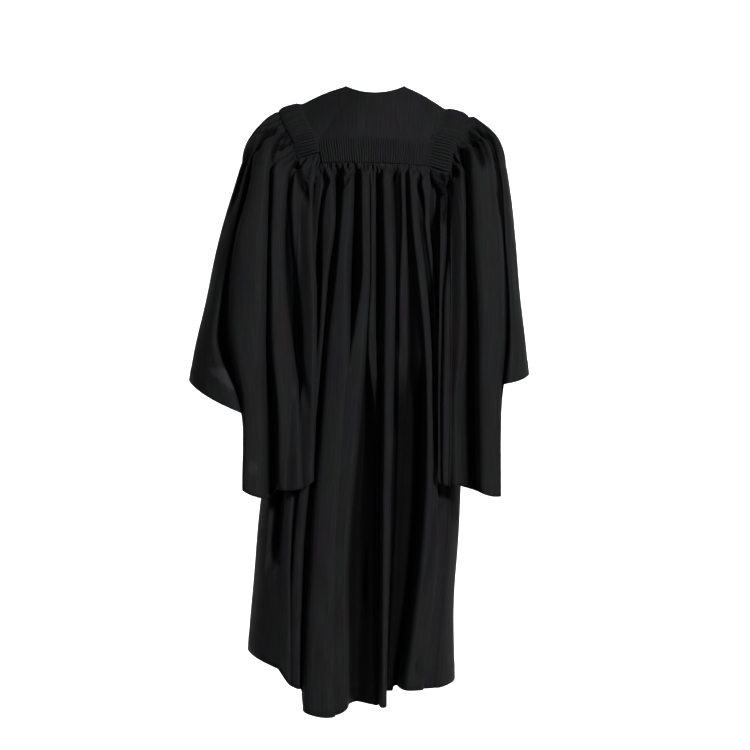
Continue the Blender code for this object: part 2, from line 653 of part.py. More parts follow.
def shown_side(side, tube_row, folds, height, grown):
    """Near side of a sleeve at one height, in folds, from its far edge to the edge at the back."""
    inner, outer, back, front = tube_row
    middle, half = (inner + outer) / 2, (outer - inner) / 2
    centre, depth = (back + front) / 2, (back - front) / 2
    shown = []
    for x, rise in fold_columns(folds, SLEEVE_HEIGHTS, height, (outer, inner)):
        across = clamp((x - middle) / half, -1.0, 1.0)
        x = middle + across * half
        y = centre + depth * (1.0 - abs(across) ** TUBE_SQUARE) ** (1.0 / TUBE_SQUARE)
        if x < trunk_side(side, height):
            y = max(y, trunk_skin(side * x, height, 1).y + OUTER_CLEAR * grown)
        shown.append(Vector((side * x, y + rise * grown, height)))
    return shown


def sleeve_point(side, tube, folds, number, start, height):
    """Point of one column of a sleeve at one height, where it hangs free."""
    drop = start.z - height
    row = read_rows(tube, height)
    shown = shown_side(side, row, folds, height, ease(drop / SLEEVE_GROW))
    if number < len(shown):
        return shown[number]
    loop = hidden_loop(side, row, height, shown[-1], shown[0], inner_clear(drop))
    return loop[number - len(shown)]


def inner_clear(drop):
    """Space kept between the trunk's section and a sleeve's inner layer, below its seam."""
    return LAP + (INNER_CLEAR - LAP) * ease(drop / FOLD_GROW)


def make_sleeve(side, seam, tube, folds, name):
    hems = fold_hems(folds)
    starts = sleeve_seam(side, seam, len(hems))
    for number in range(HIDDEN_COLUMNS):
        share = ease((1 + HEM_TURN) * (1 - (number + 1) / (HIDDEN_COLUMNS + 1)) - HEM_TURN)
        hems.append(folds[0].hem_plus + (folds[-1].hem_minus - folds[0].hem_plus) * share)
    columns = []
    for number, (start, hem) in enumerate(zip(starts, hems)):
        shoulder = ease((start.z - SHOULDER_FROM) / SHOULDER_OVER)
        free = start.z - CAP_DROP - CAP_DROP_MORE * shoulder
        landing = sleeve_point(side, tube, folds, number, start, free)
        reach = (landing - start).length
        leave = Vector(LEAVE_LOW).lerp(Vector(LEAVE_TOP), shoulder)
        leave = Vector((side * leave.x, math.copysign(leave.y, start.y), leave.z)).normalized() * reach
        arrive = Vector((0.0, 0.0, -reach))
        column = []
        for step in range(CAP_ROWS):
            t = step / CAP_ROWS
            point = (start * (2 * t ** 3 - 3 * t * t + 1) + leave * (t ** 3 - 2 * t * t + t)
                     + landing * (3 * t * t - 2 * t ** 3) + arrive * (t ** 3 - t * t))
            if number >= len(hems) - HIDDEN_COLUMNS and step:
                point = clear_of_trunk(point, point.z, inner_clear(start.z - point.z))
            column.append(point)
        for step in range(HANG_ROWS + 1):
            height = free + (hem - free) * step / HANG_ROWS
            column.append(sleeve_point(side, tube, folds, number, start, height))
        columns.append(column)
    rows = [list(row) for row in zip(*columns)]
    add_sheet(name, rows, closed=True)


for leftover in list(bpy.data.objects):
    bpy.data.objects.remove(leftover, do_unlink=True)
GOWN = bpy.data.collections.new("graduation_gown")
bpy.context.scene.collection.children.link(GOWN)

make_yoke()
make_back_gauging()
hung_panel("back", BACK_FOLDS, BACK_HEIGHTS, back_top, 1, BACK_ROWS, (1, -1))
hung_panel("front_left", front_folds(1), FRONT_HEIGHTS, front_top, -1, FRONT_ROWS, (1, None))
hung_panel("front_right", front_folds(-1), FRONT_HEIGHTS, front_top, -1, FRONT_ROWS, (None, -1))
make_head(1, SEAM_LEFT, "sleeve_gauging_left")
make_head(-1, SEAM_RIGHT, "sleeve_gauging_right")
make_sleeve(1, SEAM_LEFT, LEFT_TUBE, LEFT_FOLDS, "sleeve_left")
make_sleeve(-1, SEAM_RIGHT, RIGHT_TUBE, RIGHT_FOLDS, "sleeve_right")
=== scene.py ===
"""Graduation gown, dressed: woven cloth, cartridge pleats, gathers, creases and sewing.

Metres, +Z up.  The back faces +Y and +X is the side of the left sleeve.
"""
from collections import namedtuple
import math

import bpy
import numpy as np
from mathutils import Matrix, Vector


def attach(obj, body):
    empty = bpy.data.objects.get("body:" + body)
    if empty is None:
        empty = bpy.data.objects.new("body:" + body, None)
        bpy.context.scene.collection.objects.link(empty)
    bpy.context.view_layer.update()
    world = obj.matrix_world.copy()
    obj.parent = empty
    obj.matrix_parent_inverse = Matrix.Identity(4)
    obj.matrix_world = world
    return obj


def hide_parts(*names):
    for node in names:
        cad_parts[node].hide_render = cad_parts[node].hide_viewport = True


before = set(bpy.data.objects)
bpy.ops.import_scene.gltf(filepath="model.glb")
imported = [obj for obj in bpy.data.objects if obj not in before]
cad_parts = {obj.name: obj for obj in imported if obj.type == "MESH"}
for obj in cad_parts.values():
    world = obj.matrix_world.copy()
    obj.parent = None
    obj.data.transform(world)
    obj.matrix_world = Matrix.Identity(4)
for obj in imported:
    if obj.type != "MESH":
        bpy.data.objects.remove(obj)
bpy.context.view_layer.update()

# Cloth
CLOTH = 0.0009           # thickness of the cloth
SEAM = 0.0005            # space between pieces at a straight seam
CURVED_SEAM = 0.0016     # and at a curved one
LAP = 0.0024             # how far the sleeve's lower seam lies out on the panels

# Yoke and bands
YOKE_HEM = -0.1155
BAND_FOOT = -0.163
BAND_TILT = 0.034
BAND_RIBS = 45
BAND_TOP_OUT = {1: 0.1089, -1: 0.1068}
BAND_FOOT_OUT = {1: 0.1015, -1: 0.0995}
HEAD_DEPTH = 0.046
HEAD_RIBS = 48
HEAD_SWELL = 0.002
HEAD_SLANT = (0.945, -0.27)
HEAD_WRAP = 1.2
HEAD_FOOT = {1: -0.1385, -1: -0.1655}
YOKE_FRONT = -0.130
YOKE_SWELL = 0.003
YOKE_WOBBLE = 0.0005     # unevenness of the plain yoke
NECK_ROLL = 0.0008       # how far the turned edge of the neck stands out
YOKE_ROLL = 0.0006       # and the turned edge at the yoke's seams
HEART = 0.06, -0.15
FRONT_GAP_TOP = 0.038
FRONT_GAP_HEM = 0.062
PLEAT = 0.0030           # how far a cartridge pleat stands out
HEAD_PLEAT = 0.0044      # and one of a sleeve head
PLEAT_STEPS = 8          # columns across each pleat
GROOVE_PAINTED_SHADE = 0.9        # painted shade: how far the colour is darkened at the bottom of a groove between two pleats

# Trunk of the gown: a row for each height, with the reach to each side, back and front
Section = namedtuple("Section", "height left right back front")
TRUNK = (
    Section(-0.110, 0.150, -0.148, 0.115, -0.100),
    Section(-0.165, 0.155, -0.153, 0.127, -0.110),
    Section(-0.300, 0.168, -0.165, 0.140, -0.122),
    Section(-0.500, 0.188, -0.171, 0.152, -0.130),
    Section(-0.800, 0.2225, -0.166, 0.172, -0.140),
    Section(-1.000, 0.2405, -0.154, 0.186, -0.148),
    Section(-1.210, 0.2565, -0.1535, 0.200, -0.155),
)
TRUNK_SQUARE = 2.4
ARMHOLE_OUT = {1: (0.1015, 0.122, 0.146, 0.166), -1: (0.120, 0.127, 0.135, 0.148, 0.166)}
ARMHOLE_HEIGHT = {1: (-0.163, -0.200, -0.250, -0.300), -1: (-0.130, -0.165, -0.205, -0.250, -0.300)}

# Neckline and armhole seam of the yoke, from the middle of the back round to the front
NECK = (
    (0.000, 0.062, -0.0190),
    (0.022, 0.057, -0.0165),
    (0.042, 0.035, -0.0080),
    (0.0575, 0.002, 0.0030),
    (0.060, -0.035, -0.0130),
    (0.054, -0.066, -0.0480),
    (0.046, -0.086, -0.0880),
)
NECK_TOP = 3
SEAM_LINE = {
    1: ((0.1119, 0.090, -0.1110), (0.1200, 0.076, -0.0933), (0.1306, 0.055, -0.0730),
        (0.1396, 0.025, -0.0510), (0.1465, -0.005, -0.0320), (0.1440, -0.036, -0.0480),
        (0.1340, -0.060, -0.0850)),
    -1: ((-0.1098, 0.091, -0.1190), (-0.1178, 0.083, -0.1024), (-0.1290, 0.062, -0.0860),
         (-0.1380, 0.030, -0.0600), (-0.1400, -0.005, -0.0420), (-0.1390, -0.038, -0.0560),
         (-0.1310, -0.062, -0.0900)),
}
SEAM_FRONT_OUT = 0.120

# Folds: edges towards +X and towards -X at the given heights, lift, and hem at both edges
Fold = namedtuple("Fold", "plus minus lift hem_plus hem_minus steps")
NARROW = (0.03, 0.14, 0.5, 0.86, 0.97)
WIDE = (0.02, 0.10, 0.30, 0.5, 0.70, 0.90, 0.98)
BACK_HEIGHTS = (-0.20, -0.27, -0.39, -0.50, -0.65, -0.88, -1.17)
BACK_FOLDS = (
    Fold((0.158, 0.165, 0.176, 0.188, 0.205, 0.230, 0.254),
         (0.135, 0.140, 0.154, 0.164, 0.178, 0.203, 0.218), 0.5, -1.101, -1.111, NARROW),
    Fold((0.115, 0.122, 0.140, 0.148, 0.158, 0.175, 0.180),
         (0.100, 0.108, 0.120, 0.130, 0.140, 0.158, 0.158), 0.7, -1.122, -1.151, NARROW),
    Fold((0.092, 0.101, 0.101, 0.107, 0.126, 0.152, 0.154),
         (0.079, 0.076, 0.091, 0.098, 0.112, 0.134, 0.141), 0.8, -1.152, -1.157, NARROW),
    Fold((0.061, 0.066, 0.078, 0.091, 0.102, 0.120, 0.134),
         (0.042, 0.044, 0.051, 0.047, 0.057, 0.070, 0.075), 1.0, -1.193, -1.202, WIDE),
    Fold((0.027, 0.027, 0.028, 0.0435, 0.055, 0.067, 0.073),
         (0.010, 0.010, 0.0095, 0.0170, 0.029, 0.049, 0.049), 0.9, -1.200, -1.187, NARROW),
    Fold((0.008, 0.008, 0.008, 0.0125, 0.0, -0.001, 0.0),
         (-0.001, 0.0, 0.001, 0.0, -0.009, -0.007, -0.006), 0.8, -1.189, -1.189, NARROW),
    Fold((-0.013, -0.014, -0.017, -0.015, -0.013, -0.010, -0.0085),
         (-0.031, -0.034, -0.038, -0.036, -0.035, -0.030, -0.0225), 1.0, -1.188, -1.186, NARROW),
    Fold((-0.049, -0.051, -0.046, -0.045, -0.047, -0.042, -0.027),
         (-0.057, -0.059, -0.061, -0.062, -0.059, -0.050, -0.036), 0.5, -1.168, -1.168, NARROW),
    Fold((-0.064, -0.067, -0.080, -0.091, -0.094, -0.083, -0.045),
         (-0.080, -0.084, -0.097, -0.106, -0.111, -0.118, -0.088), 1.0, -1.157, -1.160, WIDE),
    Fold((-0.086, -0.093, -0.108, -0.116, -0.121, -0.125, -0.096),
         (-0.108, -0.104, -0.116, -0.124, -0.129, -0.131, -0.106), 0.7, -1.161, -1.162, NARROW),
    Fold((-0.114, -0.112, -0.126, -0.132, -0.136, -0.136, -0.110),
         (-0.150, -0.163, -0.168, -0.171, -0.171, -0.163, -0.154), 0.8, -1.162, -1.160, WIDE),
)
HEM_SAG = 0.10
HEM_SAG_WIDTH = 0.040
FRONT_SHARES = (0.24, 0.17, 0.23, 0.15, 0.21)
FRONT_HEIGHTS = (-0.13, -0.30, -0.60, -1.16)
FRONT_FOLD_FILL = 0.86
FRONT_LIFT = 0.7
FRONT_HEM = -1.125

# Sleeves: a row for each height, from the edge next to the back out to the far edge
Tube = namedtuple("Tube", "height inner outer back front")
SLEEVE_HEIGHTS = (-0.15, -0.22, -0.30, -0.42, -0.50, -0.62, -0.79)
TUBE = {
    1: (Tube(-0.050, 0.108, 0.195, 0.060, -0.060),
        Tube(-0.100, 0.108, 0.241, 0.095, -0.085),
        Tube(-0.150, 0.111, 0.260, 0.122, -0.100),
        Tube(-0.220, 0.118, 0.280, 0.145, -0.108),
        Tube(-0.300, 0.117, 0.303, 0.160, -0.114),
        Tube(-0.420, 0.111, 0.329, 0.172, -0.120),
        Tube(-0.580, 0.111, 0.362, 0.184, -0.125),
        Tube(-0.800, 0.116, 0.380, 0.196, -0.125)),
    -1: (Tube(-0.050, 0.104, 0.178, 0.060, -0.060),
         Tube(-0.100, 0.104, 0.238, 0.095, -0.085),
         Tube(-0.150, 0.112, 0.254, 0.122, -0.100),
         Tube(-0.220, 0.123, 0.265, 0.145, -0.108),
         Tube(-0.300, 0.124, 0.272, 0.160, -0.114),
         Tube(-0.420, 0.122, 0.2825, 0.172, -0.120),
         Tube(-0.580, 0.120, 0.3005, 0.184, -0.125),
         Tube(-0.800, 0.119, 0.308, 0.196, -0.125)),
}
TUBE_SQUARE = 2.3
SLEEVE_FOLDS = {
    1: (Fold((0.260, 0.280, 0.303, 0.329, 0.345, 0.368, 0.380),
             (0.236, 0.253, 0.268, 0.292, 0.301, 0.254, 0.250), 0.4, -0.576, -0.640, WIDE),
        Fold((0.232, 0.240, 0.262, 0.274, 0.274, 0.249, 0.2475),
             (0.200, 0.202, 0.203, 0.205, 0.206, 0.205, 0.203), 1.0, -0.783, -0.799, WIDE),
        Fold((0.196, 0.196, 0.198, 0.198, 0.198, 0.187, 0.184),
             (0.158, 0.168, 0.172, 0.168, 0.158, 0.142, 0.134), 0.9, -0.783, -0.781, NARROW),
        Fold((0.146, 0.160, 0.158, 0.145, 0.138, 0.140, 0.132),
             (0.111, 0.118, 0.117, 0.111, 0.109, 0.112, 0.116), 0.7, -0.779, -0.768, NARROW)),
    -1: (Fold((0.254, 0.265, 0.272, 0.2825, 0.290, 0.302, 0.308),
              (0.236, 0.245, 0.247, 0.254, 0.254, 0.238, 0.2365), 0.7, -0.566, -0.586, NARROW),
         Fold((0.228, 0.232, 0.240, 0.2435, 0.243, 0.2345, 0.234),
              (0.176, 0.178, 0.180, 0.186, 0.188, 0.190, 0.193), 1.0, -0.795, -0.786, WIDE),
         Fold((0.168, 0.172, 0.172, 0.170, 0.168, 0.158, 0.158),
              (0.140, 0.142, 0.142, 0.130, 0.128, 0.126, 0.126), 0.9, -0.776, -0.774, NARROW),
         Fold((0.132, 0.133, 0.133, 0.126, 0.123, 0.121, 0.121),
              (0.112, 0.123, 0.124, 0.122, 0.120, 0.118, 0.119), 0.3, -0.772, -0.766, NARROW)),
}
HIDDEN_COLUMNS = 18
HIDDEN_FOLDS = 4
HIDDEN_RISE = 0.006
HIDDEN_FROM = 0.3
HEM_TURN = 0.25
LOOP_STEPS = 24
INNER_CLEAR = 0.022
OUTER_CLEAR = 0.044
SLEEVE_GROW = 0.120
UNDERARM_OUT = {1: (0.106, 0.120, 0.132, 0.146, 0.158, 0.166),
                -1: (0.123, 0.130, 0.138, 0.148, 0.158, 0.166)}
LEAVE_LOW = (0.25, 0.40, -0.85)
LEAVE_TOP = {1: (0.85, 0.00, -0.53), -1: (0.96, 0.00, -0.28)}
CAP_DROP = 0.055
CAP_DROP_MORE = 0.045
SHOULDER_FROM = -0.140
SHOULDER_OVER = 0.090

# How folds stand out
FOLD_RISE = 0.0042
FOLD_STEEP = 1.0
FOLD_FLAT = 4.5          # above 3, tops are flatter and sides steeper than the solid's
VALLEY_GAP = 0.004
VALLEY_SINK = 0.25
VALLEY_LEAST = 0.002
VALLEY_SHUT = 0.45
VALLEY_DEEP = 1.5        # how much further a valley goes in, as a share of its width
VALLEY_SKEW = 0.2        # where a valley is deepest, as a share of its width from the +X side
PANEL_DEEPEST = 0.048    # most that a valley of a panel goes in further
SLEEVE_DEEPEST = 0.026   # and a valley of a sleeve
FOLD_GROW = 0.050
BLUNT_TIMES = 3          # how much rounder folds are near the hem
BLUNT_FROM = (-0.45, -0.85)
FOLD_START = 0.026       # length below a band over which the folds of the cloth come up
CAP_GROW = 0.085         # the same on a sleeve
SIDE_PUSH = 0.3

# Back folds that fade out over a range of heights, and how far they then go in
BACK_FADES = {5: (-0.45, -0.63, 0.020), 7: (-0.48, -0.70, 0.048)}
LOWEST = -0.056          # and no valley goes in further than this
# Painted shade: the cloth's colour is darkened in deep valleys and troughs, standing in for the shadow that
# falls there
PAINTED_SHADE_AT = {"panel": 0.040, "sleeve": 0.022}   # depth at which a valley's painted shade is strongest
PAINTED_SHADE_MOST = 0.9               # how far painted shade then darkens the cloth's colour
CREASE_PAINTED_SHADE_AT = 0.007   # the same for gathers and creases

# Valleys that nearly close over a range of heights, and the share of their depth that stays
BACK_JOINS = {0: (-0.88, -0.96, 0.0), 1: (-0.91, -0.98, 0.2), 3: (-0.50, -0.56, 0.0),
              8: (-0.76, -0.82, 0.0), 9: (-0.70, -0.78, 0.0)}
SMOOTH_HEMS = (0, 1, 2, 7, 8, 9, 10)     # back folds whose hem runs on in one line
SLEEVE_JOINS = {1: {2: (-0.58, -0.67, 0.05)}, -1: {}}
COVERED = {0: 0.3, 1: 0.3, 10: 0.3}      # share of a back fold's lift that stays under a sleeve
COVERED_TO = (-0.70, -0.78)              # heights at which the sleeves stop covering it

# Fineness of the cloth, and the small things on it
FOLD_COLUMNS = 30        # most columns across a back or front fold
SLEEVE_COLUMNS = 44      # and across a sleeve fold
VALLEY_COLUMNS = 13      # columns across a valley, between two folds
PANEL_ROWS = 110
ROW_CLOSING = 1.7        # above 1, rows lie closer together near the top
SLEEVE_PUSH = 0.15       # how much of a sleeve fold's rise goes sideways
CREASE_ROUNDS = 6        # rounds in which a crease's bottom finds its place
SOFT_MEETING = 0.012     # how softly a sleeve bends where it comes to lie along the trunk
CAP_ROWS = 26            # rows of a sleeve from its seam to where it hangs free
HANG_ROWS = 84
HIDDEN_FINE = 90         # columns round a sleeve's hidden side
TUCK = 0.003             # how far an upper edge goes up under the piece above it
TUCK_IN = 0.0012         # and how far in
SLEEVE_TUCK = 0.005      # the same for a sleeve
SLEEVE_TUCK_IN = 0.002
SIDE_TUCK = 0.0045       # how far a band's ends and a head's inner edge run on under what is beside them
SIDE_LAP = 0.0035        # how far a front's side edge runs on inside the back's
HEM_LINE = {"panel": 0.032, "sleeve": 0.026}   # depth of the turned-up hem
HEM_STEP = 0.0007        # how far the doubled cloth of a hem stands out
WOBBLE = 0.0009          # unevenness of hanging cloth

YOKE_ROUND = 0.115       # radius of the yoke's round over the shoulders, for the run of its weave

# Painted light: places where single cloth hangs free and the light shining through it is painted
# as lighter colour: sides (the +X one at its foot and its top), heights, how much lighter, and how soft its
# border is
Patch = namedtuple("Patch", "left_low left_high right low high share soft")
BACK_PATCHES = (Patch(0.0545, 0.0545, 0.0170, -1.157, -1.041, 0.10, 0.003),)
SLEEVE_PATCHES = {1: (Patch(0.2750, 0.3170, 0.2560, -0.598, -0.553, 0.45, 0.005),
                      Patch(0.2370, 0.2370, 0.2150, -0.752, -0.729, 0.25, 0.004)),
                  -1: ()}

# Gathers below a gauged edge: their pitch, height, length and lean
Gather = namedtuple("Gather", "pitch rise length lean")
BACK_GATHERS = (Gather(0.0125, 0.0060, 0.026, 0.45), Gather(0.0058, 0.0034, 0.016, 0.30))
SLEEVE_GATHERS = (Gather(0.0150, 0.0085, 0.042, 0.20), Gather(0.0072, 0.0040, 0.020, 0.15))
FRONT_GATHERS = (Gather(0.0130, 0.0020, 0.020, 0.20),)


def ease(share):
    """0 to 1, with a soft start and end."""
    share = np.clip(share, 0.0, 1.0)
    return share * share * (3.0 - 2.0 * share)


def read(stations, values, at):
    """Smooth curve through values that are given at falling heights."""
    falling = np.array(stations[::-1], dtype=float)
    ordered = np.array(values[::-1], dtype=float)
    at = np.clip(at, falling[0], falling[-1])
    index = np.clip(np.searchsorted(falling, at) - 1, 0, len(falling) - 2)
    slopes = np.gradient(ordered, falling)
    span = falling[index + 1] - falling[index]
    t = (at - falling[index]) / span
    before, after = ordered[index], ordered[index + 1]
    rise_in, rise_out = slopes[index] * span, slopes[index + 1] * span
    bend = 2 * (before - after) + rise_in + rise_out
    sway = 3 * (after - before) - 2 * rise_in - rise_out
    return ((bend * t + sway) * t + rise_in) * t + before


def read_rows(rows, height):
    heights = [row.height for row in rows]
    return [read(heights, column, height) for column in list(zip(*rows))[1:]]


def curve_through(points, count, fine_steps=8):
    """Evenly spaced points on a smooth curve through the given ones."""
    points = np.array(points, dtype=float)
    padded = np.vstack([2 * points[0] - points[1], points, 2 * points[-1] - points[-2]])
    fine = []
    for i in range(1, len(padded) - 2):
        p0, p1, p2, p3 = padded[i - 1:i + 3]
        for step in range(fine_steps):
            t = step / fine_steps
            fine.append(0.5 * (2 * p1 + (p2 - p0) * t + (2 * p0 - 5 * p1 + 4 * p2 - p3) * t * t
                               + (3 * p1 - p0 - 3 * p2 + p3) * t ** 3))
    fine.append(points[-1])
    return along(fine, np.linspace(0.0, 1.0, count))


def lengths_of(points):
    """Distance along a line of points at each of them."""
    points = np.asarray(points)
    return np.concatenate([[0.0], np.cumsum(np.linalg.norm(np.diff(points, axis=0), axis=1))])


def along(points, shares):
    """Points at the given shares of a line's length."""
    points = np.asarray(points)
    marks = lengths_of(points)
    return np.stack([np.interp(np.asarray(shares) * marks[-1], marks, points[:, axis])
                     for axis in range(3)], axis=-1)


def trunk_place(x, height, facing):
    """Point of the trunk's back (facing 1) or front (facing -1) at x, and the way out from it."""
    left, right, back, front = read_rows(TRUNK, height)
    middle, half = (left + right) / 2, (left - right) / 2
    reach = back if facing > 0 else -front
    across = np.clip((x - middle) / half, -1.0, 1.0)
    depth = (1.0 - np.abs(across) ** TRUNK_SQUARE) ** (1.0 / TRUNK_SQUARE)
    slope = np.sign(across) * np.abs(across) ** (TRUNK_SQUARE - 1) / half
    facing_out = facing * depth ** (TRUNK_SQUARE - 1) / reach
    size = np.sqrt(slope ** 2 + facing_out ** 2)
    point = np.stack([middle + across * half, facing * reach * depth, height + 0 * x], axis=-1)
    return point, np.stack([slope / size, facing_out / size, 0 * size], axis=-1)


def trunk_skin(x, height, facing, out=0.0):
    x, height = np.asarray(x, dtype=float), np.asarray(height, dtype=float)
    point, normal = trunk_place(x, height, facing)
    return point + normal * np.asarray(out)[..., None]


def trunk_side(side, height):
    left, right, _, _ = read_rows(TRUNK, height)
    return left if side > 0 else -right


def clear_of_trunk(point, height, clear):
    """The points, moved out from the trunk's middle where they lie nearer to it than clear."""
    left, right, back, front = read_rows(TRUNK, height)
    middle, half = (left + right) / 2, (left - right) / 2 + clear
    reach = np.where(point[..., 1] > 0, back, front) + np.where(point[..., 1] > 0, clear, -clear)
    inside = (np.abs((point[..., 0] - middle) / half) ** TRUNK_SQUARE
              + np.abs(point[..., 1] / reach) ** TRUNK_SQUARE)
    scale = np.maximum(1.0, np.maximum(inside, 1e-6) ** (-1.0 / TRUNK_SQUARE))
    return np.stack([middle + (point[..., 0] - middle) * scale, point[..., 1] * scale,
                     height + 0 * scale], axis=-1)


def armhole_height(x, facing):
    return np.interp(np.abs(x), ARMHOLE_OUT[facing], ARMHOLE_HEIGHT[facing]) + BAND_TILT * x


def band_edge(x, middle_height):
    return middle_height + BAND_TILT * x


def band_side(side, height):
    share = np.clip((height - YOKE_HEM) / (BAND_FOOT - YOKE_HEM), 0.0, 1.0)
    return BAND_TOP_OUT[side] + (BAND_FOOT_OUT[side] - BAND_TOP_OUT[side]) * share


# Columns of a folded panel: fold number, share across it, and whether it lies in the valley after it
Columns = namedtuple("Columns", "fold share valley cad")


def panel_columns(folds, widths, most):
    """Fine columns for a folded panel; cad is where each lies among the solid's own columns."""
    rows, number = [], 0
    for index, fold in enumerate(folds):
        count = int(np.clip(round(most * math.sqrt(widths[index] / 0.035)), 16, 1.4 * most))
        own = [0.0] + list(fold.steps) + [1.0]
        for step in range(count + 1):
            share = (1.0 - math.cos(math.pi * step / count)) / 2 * 0.7 + 0.3 * step / count
            rows.append((index, share, 0, number + np.interp(share, own, range(len(own)))))
        number += len(fold.steps) + 1
        if index + 1 < len(folds):
            for step in range(1, VALLEY_COLUMNS):
                rows.append((index, step / VALLEY_COLUMNS, 1, number))
    fold, share, valley, cad = (np.array(column) for column in zip(*rows))
    return Columns(fold, share, valley.astype(bool), cad)


def fold_shape(folds, heights, columns, height, ends, deepest, fades=(), joins=()):
    """Place across and rise of every column (last axis) at its own heights."""
    edges = [[read(heights, fold.plus, height), read(heights, fold.minus, height)] for fold in folds]
    if ends[0] is not None:
        edges[0][0] = ends[0]
    if ends[1] is not None:
        edges[-1][1] = ends[1]
    for here, there in zip(edges, edges[1:]):
        near = here[1] - there[0] < VALLEY_LEAST
        middle = (here[1] + there[0]) / 2
        here[1] = np.where(near, middle + VALLEY_LEAST / 2, here[1])
        there[0] = np.where(near, middle - VALLEY_LEAST / 2, there[0])
    rises = []
    for number, ((plus, minus), fold) in enumerate(zip(edges, folds)):
        width = np.maximum(plus - minus, 1e-5)
        rise = fold.lift * np.minimum(FOLD_RISE * np.sqrt(width * 1000.0), FOLD_STEEP * width)
        if number in fades:
            begin, end, depth = fades[number]
            gone = ease((begin - height) / (begin - end))
            rise = rise * (1.0 - gone) - depth * gone
        if fades and number in COVERED:
            free = ease((COVERED_TO[0] - height) / (COVERED_TO[0] - COVERED_TO[1]))
            rise = rise * (COVERED[number] + (1.0 - COVERED[number]) * free)
        rises.append(rise)
    floors, kept = [np.zeros_like(height)], []
    for i in range(len(folds) - 1):
        begin, end, least = joins[i] if i in joins else (1.0, 0.9, 1.0)
        kept.append(1.0 - (1.0 - least) * ease((begin - height) / (begin - end)))
        openness = ease((edges[i][1] - edges[i + 1][0] - VALLEY_LEAST) / VALLEY_GAP)
        depth = (VALLEY_SHUT + (1.0 + VALLEY_SINK - VALLEY_SHUT) * openness) * kept[i]
        lower = np.minimum(rises[i], rises[i + 1])
        floors.append(np.where(lower > 0.0, lower * (1.0 - depth), lower))
    floors.append(np.zeros_like(height))
    x, rise = np.zeros_like(height), np.zeros_like(height)
    for i in range(len(folds)):
        mine = (columns.fold == i) & ~columns.valley
        share = columns.share[mine]
        plus, minus = edges[i][0][..., mine], edges[i][1][..., mine]
        x[..., mine] = plus + (minus - plus) * share
        floor = np.where(share < 0.5, floors[i][..., mine], floors[i + 1][..., mine])
        top = np.sqrt(1.0 - np.abs(2.0 * share - 1.0) ** FOLD_FLAT)
        rise[..., mine] = floor + (rises[i][..., mine] - floor) * top
        if i + 1 < len(folds):
            between = (columns.fold == i) & columns.valley
            start, end = edges[i][1][..., between], edges[i + 1][0][..., between]
            share = columns.share[between]
            x[..., between] = start + (end - start) * share
            slope = np.where(share < VALLEY_SKEW, ease(share / VALLEY_SKEW),
                             (1.0 - share) / (1.0 - VALLEY_SKEW))
            sink = np.minimum(VALLEY_DEEP * (start - end), deepest) * kept[i][..., between] * slope
            rise[..., between] = np.maximum(floors[i + 1][..., between] - sink, LOWEST)
    return x, rise


def soften(values, times):
    """Rounds off a grid across its columns."""
    for _ in range(times):
        wide = np.concatenate([values[..., :1], values, values[..., -1:]], axis=-1)
        values = (wide[..., :-2] + 2 * values + wide[..., 2:]) / 4
    return values


def fold_hems(folds, columns, smooth=()):
    hems = np.zeros(len(columns.fold))
    for i, fold in enumerate(folds):
        mine = (columns.fold == i) & ~columns.valley
        share = columns.share[mine]
        dip = 0.0 if i in smooth else 4.0 * HEM_SAG * min(fold.plus[-1] - fold.minus[-1], HEM_SAG_WIDTH)
        hems[mine] = (fold.hem_plus + (fold.hem_minus - fold.hem_plus) * share
                      - dip * share * (1 - share))
        if i + 1 < len(folds):
            between = (columns.fold == i) & columns.valley
            share = columns.share[between]
            hems[between] = fold.hem_minus + (folds[i + 1].hem_plus - fold.hem_minus) * share
    return hems


def waves(across, down, seed, size):
    """Smooth unevenness, about -1 to 1, that changes over the given size."""
    dice = np.random.default_rng(seed)
    total = np.zeros(np.broadcast(across, down).shape)
    for turn in range(7):
        angle = dice.uniform(0, math.pi)
        pace = 2 * math.pi / size * dice.uniform(0.5, 1.5)
        total = total + np.sin(pace * (across * math.cos(angle) + down * math.sin(angle))
                               + dice.uniform(0, 2 * math.pi))
    return total / 3.5


def way_out(grid, closed):
    """Normals of a grid of points, rows down and columns across."""
    down = np.gradient(grid, axis=0)
    if closed:
        across = (np.roll(grid, -1, axis=1) - np.roll(grid, 1, axis=1)) / 2
    else:
        across = np.gradient(grid, axis=1)
    normal = np.cross(down, across)
    return normal / np.maximum(np.linalg.norm(normal, axis=-1, keepdims=True), 1e-9)


def grid_mesh(name, grid, closed, marks, cut=None):
    """Mesh of a grid of points with a flat cloth map in metres and marks for painted light and shade in its
    colour.

    cut is each point's place in the flat cloth, where that isn't simply its column and row."""
    rows, columns = grid.shape[:2]
    row, column = np.meshgrid(np.arange(rows - 1), np.arange(columns if closed else columns - 1),
                              indexing="ij")
    following = (column + 1) % columns
    faces = np.stack([row * columns + column, (row + 1) * columns + column,
                      (row + 1) * columns + following, row * columns + following], axis=-1).reshape(-1, 4)
    mesh = bpy.data.meshes.new(name)
    mesh.from_pydata(grid.reshape(-1, 3).tolist(), [], faces.tolist())
    across = np.linalg.norm(np.diff(grid, axis=1, append=grid[:, :1]), axis=-1).mean(axis=0)
    across = np.concatenate([[0.0], np.cumsum(across)])
    down = np.linalg.norm(np.diff(grid, axis=0), axis=-1).mean(axis=1)
    down = np.concatenate([[0.0], np.cumsum(down)])
    spread = np.stack([np.stack([across[column], across[column], across[column + 1], across[column + 1]], -1),
                       np.stack([down[row], down[row + 1], down[row + 1], down[row]], -1)], axis=-1)
    if cut is not None:
        spread = cut.reshape(-1, 2)[faces]
    layer = mesh.uv_layers.new(name="cloth")
    layer.data.foreach_set("uv", spread.reshape(-1))
    for label, values in marks.items():
        mark = mesh.attributes.new(label, "FLOAT", "POINT")
        mark.data.foreach_set("value", (np.zeros(grid.shape[:2]) + values).reshape(-1))
    mesh.shade_smooth()
    return mesh


